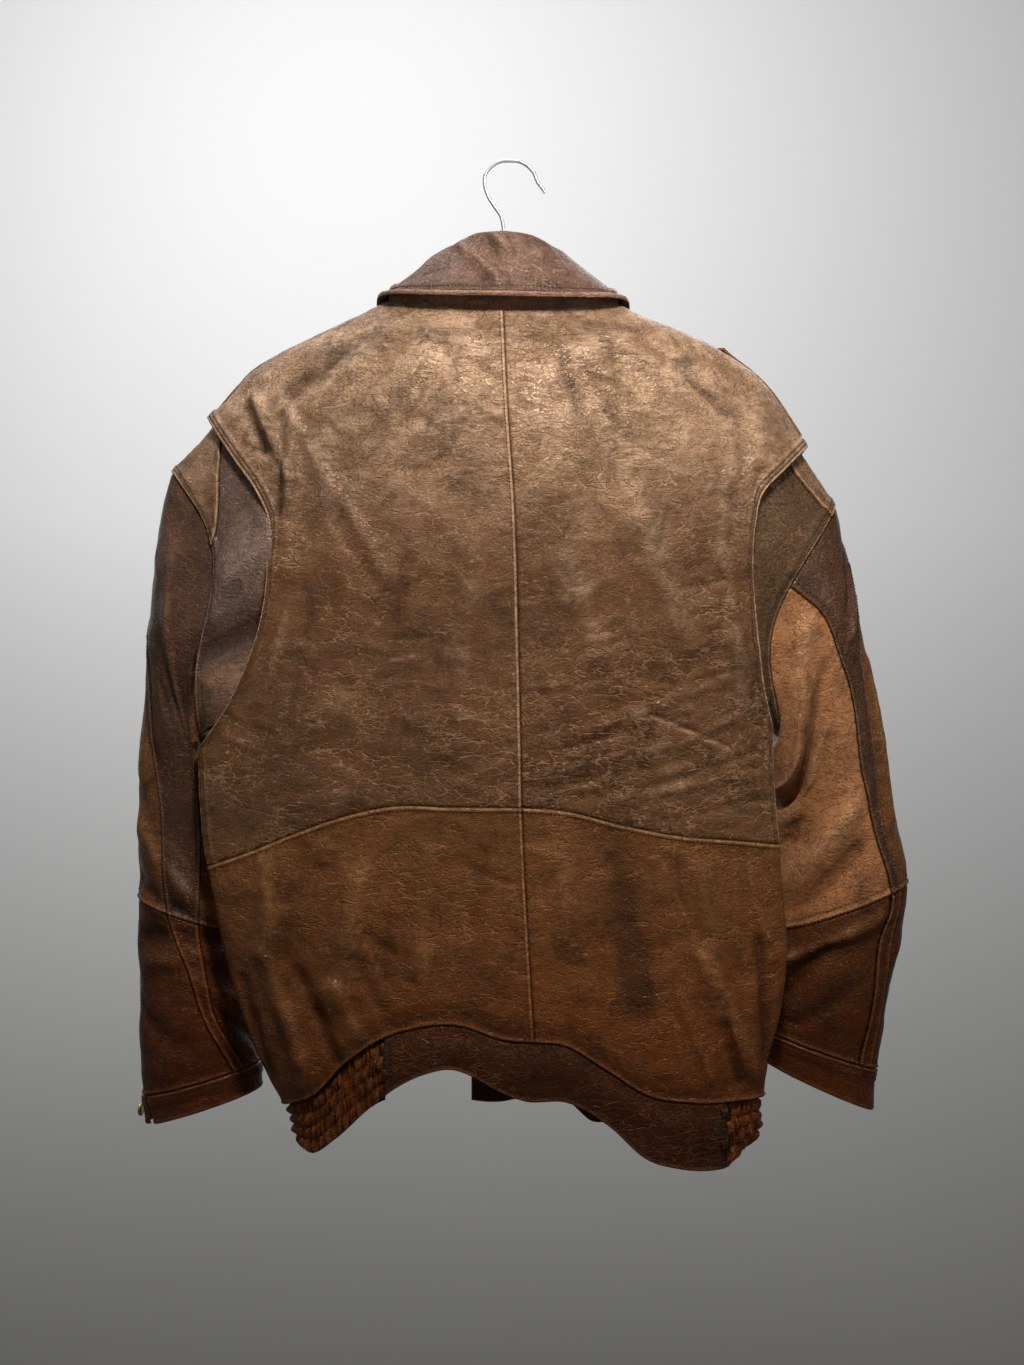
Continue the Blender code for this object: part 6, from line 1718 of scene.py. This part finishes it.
def teeth(side, label, foot):
    drops = np.arange(ZIP_TOP + FIRST_TOOTH, foot - FIRST_TOOTH, TOOTH_PITCH)
    x = edge_by_drop[side](drops)[:, 0] - side * (TAPE_OUT + SEAM_GAP + TOOTH[0] / 2)
    outs = body_out(FRONT, x, drops)
    centres = body_point(FRONT, x, drops) - outs * (LEATHER + TAPE_BELOW + TAPE / 2)
    tooth = tooth_block()
    row = copies("zip_teeth_" + label, tooth, [(np.eye(3), centre) for centre in centres])
    bpy.data.objects.remove(tooth)
    row.data.materials.append(FINISHES["brass"])
    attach(row, "jacket")
    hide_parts("zip_chain_" + label)
    print(row.name, len(drops), "teeth")


teeth(LEFT, "left", ZIP_FOOT)
teeth(RIGHT, "right", ZIP_FOOT - SLIDER_DROP - RETAINER_DROP - 3 * SEAM_GAP)

# %% [markdown]
# ## The shoulder straps, buttons and snaps
# Each strap is a short pointed sheet on the front of the shoulder. A button or snap is a domed disc: a
# cylinder whose rim is bevelled and whose face is inset and raised, turned to face out of the leather.

# %% Straps
STRAP_LENGTH, STRAP_WIDTH, STRAP_POINT, STRAP_OFF, STRAP_STEP = 0.094, 0.038, 0.014, 0.0035, 0.003
STRAP_CLEAR, STRAP_SLANT, STRAP_TOP, STRAP_TAPER = 0.004, 0.024, 0.002, 0.55
# A strap starts just above the shoulder point, and is drawn in by these shares along and down.
STRAP_ABOVE, DRAWN_ALONG, DRAWN_DOWN = 0.006, 0.9, 0.93
# Past this share of its length its top corner curls up, and forward by a share of that.
STRAP_CORNER_LIFT, CURL_FROM, CURL_FORWARD = {LEFT: 0.000, RIGHT: 0.011}, 0.55, 0.3
ridge_by_x = {LEFT: curve_through([(row[1], row[0]) for row in OUTLINE[:8]]),
              RIGHT: curve_through([(row[2], row[0]) for row in OUTLINE[:9]])}


def strap_surface(side, us, vs):
    """A strap over its length and width: points, and the outward directions."""
    u, v = us[:, None], vs[None, :]
    start_x = float(side_x(side, SHOULDER_DROP[side] - STRAP_ABOVE))
    point_share = np.maximum(0.0, (u * STRAP_LENGTH - (STRAP_LENGTH - STRAP_POINT)) / STRAP_POINT)
    down = STRAP_TOP + STRAP_WIDTH * (v + (0.5 - v) * point_share * STRAP_TAPER)
    x = start_x - side * (STRAP_CLEAR + STRAP_LENGTH * DRAWN_ALONG * u + STRAP_SLANT * v * (1 - u))
    drop = ridge_by_x[side](side * x)[..., 0] + down * DRAWN_DOWN
    out = body_out(FRONT, x, drop)
    curl = STRAP_CORNER_LIFT[side] * np.maximum(0.0, (u - CURL_FROM) / (1 - CURL_FROM)) ** 2 * (1 - v) ** 2
    lift = np.stack([0 * curl, CURL_FORWARD * curl, curl], axis=-1)
    return body_point(FRONT, x, drop) + out * (STRAP_OFF + LEATHER) + lift, out


# %% Buttons and snaps
BUTTON_RADIUS, BUTTON_DEPTH, BUTTON_CLEAR = 0.0075, 0.0028, 0.0020
SNAP_RADIUS, SNAP_DEPTH, SNAP_CLEAR = 0.0060, 0.0022, 0.0035
BUTTON_ALONG, BUTTON_ACROSS = 0.82, 0.5
DOME_RINGS = [
    # inset as a share of the radius, rise as a share of the thickness
    (0.10, 0.0), (0.22, -0.22), (0.14, 0.30), (0.22, 0.12),
]


def domed_disc(node, radius, thick, centre, out):
    """A brass disc with a raised rim, a groove and a dome, whose face looks outward."""
    bpy.ops.object.select_all(action="DESELECT")
    bpy.ops.mesh.primitive_cylinder_add(vertices=40, radius=radius, depth=thick)
    disc = bpy.context.object
    disc.name = disc.data.name = node + "_dome"
    for face in disc.data.polygons:
        face.select = face.normal.z > 0.9
    bpy.ops.object.mode_set(mode="EDIT")
    bpy.ops.mesh.select_mode(type="FACE")
    for inset, rise in DOME_RINGS:
        bpy.ops.mesh.inset(thickness=inset * radius)
        bpy.ops.transform.translate(value=(0, 0, rise * thick))
    bpy.ops.object.mode_set(mode="OBJECT")
    turn = Vector(out).to_track_quat("Z", "Y").to_matrix().to_4x4()
    disc.data.transform(Matrix.Translation(Vector(centre)) @ turn)
    apply_modifier(disc, "BEVEL", width=0.0004, segments=2, limit_method="ANGLE")
    bpy.ops.object.shade_smooth_by_angle(angle=radians(40))
    disc.data.materials.append(FINISHES["brass"])
    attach(disc, "jacket")
    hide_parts(node)


# %% Straps, buttons and snaps in place
def strap_and_button(side, label):
    points, outs = strap_surface(side, stations(STRAP_LENGTH, STRAP_STEP), stations(STRAP_WIDTH, STRAP_STEP))
    sew_sheet("epaulette_" + label, "leather_brown", Cut(points, outs, outs), dict.fromkeys(EDGE_NAMES, FREE),
              0.0004 * soft_noise(points, 0.02, 61), seed=95 + side)
    points, outs = strap_surface(side, np.array([BUTTON_ALONG]), np.array([BUTTON_ACROSS]))
    centre = points[0, 0] + outs[0, 0] * (BUTTON_DEPTH / 2 + BUTTON_CLEAR)
    domed_disc("epaulette_button_" + label, BUTTON_RADIUS, BUTTON_DEPTH, centre, outs[0, 0])


def snap(side, label):
    """The snap sits one column before the slit, half way down the cuff."""
    turn = turns_of(side, np.array([SLIT_COLUMN + RING - 1.0]), CUFF_MIDDLE)
    point, out = sleeve_at(side, turn, CUFF_MIDDLE)[0], sleeve_outs(side, turn, CUFF_MIDDLE)[0]
    centre = point + out * (SNAP_DEPTH / 2 + SNAP_CLEAR)
    domed_disc("cuff_snap_" + label, SNAP_RADIUS, SNAP_DEPTH, centre, out)


for side, label in SIDES:
    strap_and_button(side, label)
    snap(side, label)
print("straps, buttons and snaps", [label for _, label in SIDES])

# %% [markdown]
# ## The carried-over parts
# The slider, its pull and the retaining box, the hanger's wood and its wire hook have their real shapes in
# the frame already, so they keep them and take better finishes.

# %% Finishes for the carried-over parts
for node, slot in (("zip_slider", "brass"), ("zip_retainer", "brass"), ("zip_pull", "brass"),
                   ("hanger_wood", "wood"), ("hanger_hook", "chrome")):
    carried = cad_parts[node]
    carried.data.materials.clear()
    carried.data.materials.append(FINISHES[slot])
print("carried over with new finishes")

# %% [markdown]
# ## The stitches
# Topstitching runs in one or two rows beside the seams. A line drawn in the finish would look printed, so
# each stitch is a short bent bar of thread, modelled once, that dips into the leather at both ends.

# %% One stitch
STITCH_LENGTH, STITCH_PITCH, THREAD_RADIUS = 0.0026, 0.0036, 0.00038
# A stitch bends at two places, and its ends lie lower than its middle.
BEND_AT, STITCH_RISE, END_FALL = 0.0007, 0.00025, 0.0005


def stitch_bar():
    """A bar of thread along X, cut at its two bends, with its ends pressed down."""
    bpy.ops.object.select_all(action="DESELECT")
    bpy.ops.mesh.primitive_cylinder_add(vertices=5, radius=THREAD_RADIUS, depth=STITCH_LENGTH,
                                        rotation=(0, radians(90), 0), end_fill_type="NGON")
    bpy.ops.object.transform_apply(rotation=True)
    bar = bpy.context.object
    bpy.ops.object.mode_set(mode="EDIT")
    for bend in (BEND_AT, -BEND_AT):
        bpy.ops.mesh.select_all(action="SELECT")
        bpy.ops.mesh.bisect(plane_co=(bend, 0, 0), plane_no=(1, 0, 0))
    bpy.ops.mesh.select_all(action="SELECT")
    bpy.ops.mesh.normals_make_consistent(inside=False)
    bpy.ops.object.mode_set(mode="OBJECT")
    half_way = (BEND_AT + STITCH_LENGTH / 2) / 2
    for vertex in bar.data.vertices:
        vertex.co.z += STITCH_RISE - END_FALL * (abs(vertex.co.x) > half_way)
    return bar


# %% The lines of stitches
# The rows along an armhole stop at this share of the way down the panel.
STOPS_AT = {("back_upper_", "end"): 0.70, ("front_", "end"): 0.48}
BESIDE_RIDGE, ONE_BESIDE_RIDGE, CENTRE_ROW = (0.0022, 0.0080), (0.0022,), 0.0034
EDGE_ROWS_OF_BOTH_SIDES = [
    # piece, edge, distances
    ("back_upper_", "end", STITCH_AT), ("back_lower_", "top", (0.0038,)), ("back_lower_", "foot", (0.0024,)),
    ("front_", "start", (0.0060,)), ("front_", "end", STITCH_AT), ("shoulder_cap_", "foot", STITCH_AT),
    ("gusset_", "foot", STITCH_AT), ("sleeve_hind_", "end", BESIDE_RIDGE),
    ("sleeve_hind_", "start", ONE_BESIDE_RIDGE),
    ("sleeve_outer_", "foot", BESIDE_RIDGE), ("forearm_outer_", "foot", ONE_BESIDE_RIDGE),
    ("sleeve_hind_", "foot", BESIDE_RIDGE), ("forearm_hind_", "foot", ONE_BESIDE_RIDGE),
    ("sleeve_under_", "foot", BESIDE_RIDGE), ("forearm_under_", "foot", ONE_BESIDE_RIDGE),
    ("cuff_", "foot", (0.0030,)), ("cuff_", "top", (0.0024,)), ("epaulette_", "top", (0.0030,)),
    ("epaulette_", "foot", (0.0030,)), ("epaulette_", "end", (0.0030,)),
    ("waistband_front_", "foot", (HEM_ROW,)),
]
for _, label in SIDES:
    for stem, edge, distances in EDGE_ROWS_OF_BOTH_SIDES:
        stitch(CUTS[stem + label], edge, *distances, end=STOPS_AT.get((stem, edge), 1.0))
for stem in ("back_upper_", "back_lower_"):
    stitch(CUTS[stem + "left"], "start", CENTRE_ROW)
stitch(CUTS["waistband_back"], "foot", HEM_ROW)
stitch(CUTS["waistband_back"], "start", *END_ROWS)
stitch(CUTS["waistband_back"], "end", *END_ROWS)
stitch(CUTS["collar_leaf"], "foot", *LEAF_ROWS)
print("stitch lines", len(STITCHES))


# %% Sewing
TANGENT_REACH = 0.001


def places_along(points, outs):
    """Where each stitch of a line lies, as turns and places. Its way is read just before and after it."""
    steps = np.linalg.norm(np.diff(points, axis=0), axis=1)
    far = np.concatenate([[0], steps.cumsum()])
    count = int(far[-1] / STITCH_PITCH)
    middles = (np.arange(count) + 0.5) * far[-1] / max(count, 1)
    found = []

    def on_line(distance, field):
        return np.array([np.interp(distance, far, field[:, c]) for c in range(3)])

    for middle in middles:
        ends = on_line(middle - TANGENT_REACH, points), on_line(middle + TANGENT_REACH, points)
        out = unit(on_line(middle, outs))
        along = unit(ends[1] - ends[0])
        out = unit(out - along * (out @ along))
        found.append((np.stack([along, np.cross(out, along), out], axis=1), (ends[0] + ends[1]) / 2))
    return found


bar = stitch_bar()
places = [place for line in STITCHES for place in places_along(*line)]
thread = copies("stitches", bar, places)
bpy.data.objects.remove(bar)
thread.data.materials.append(THREAD)
bpy.ops.object.select_all(action="DESELECT")
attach(thread, "jacket")
print("stitches", len(places), "faces", len(thread.data.polygons))
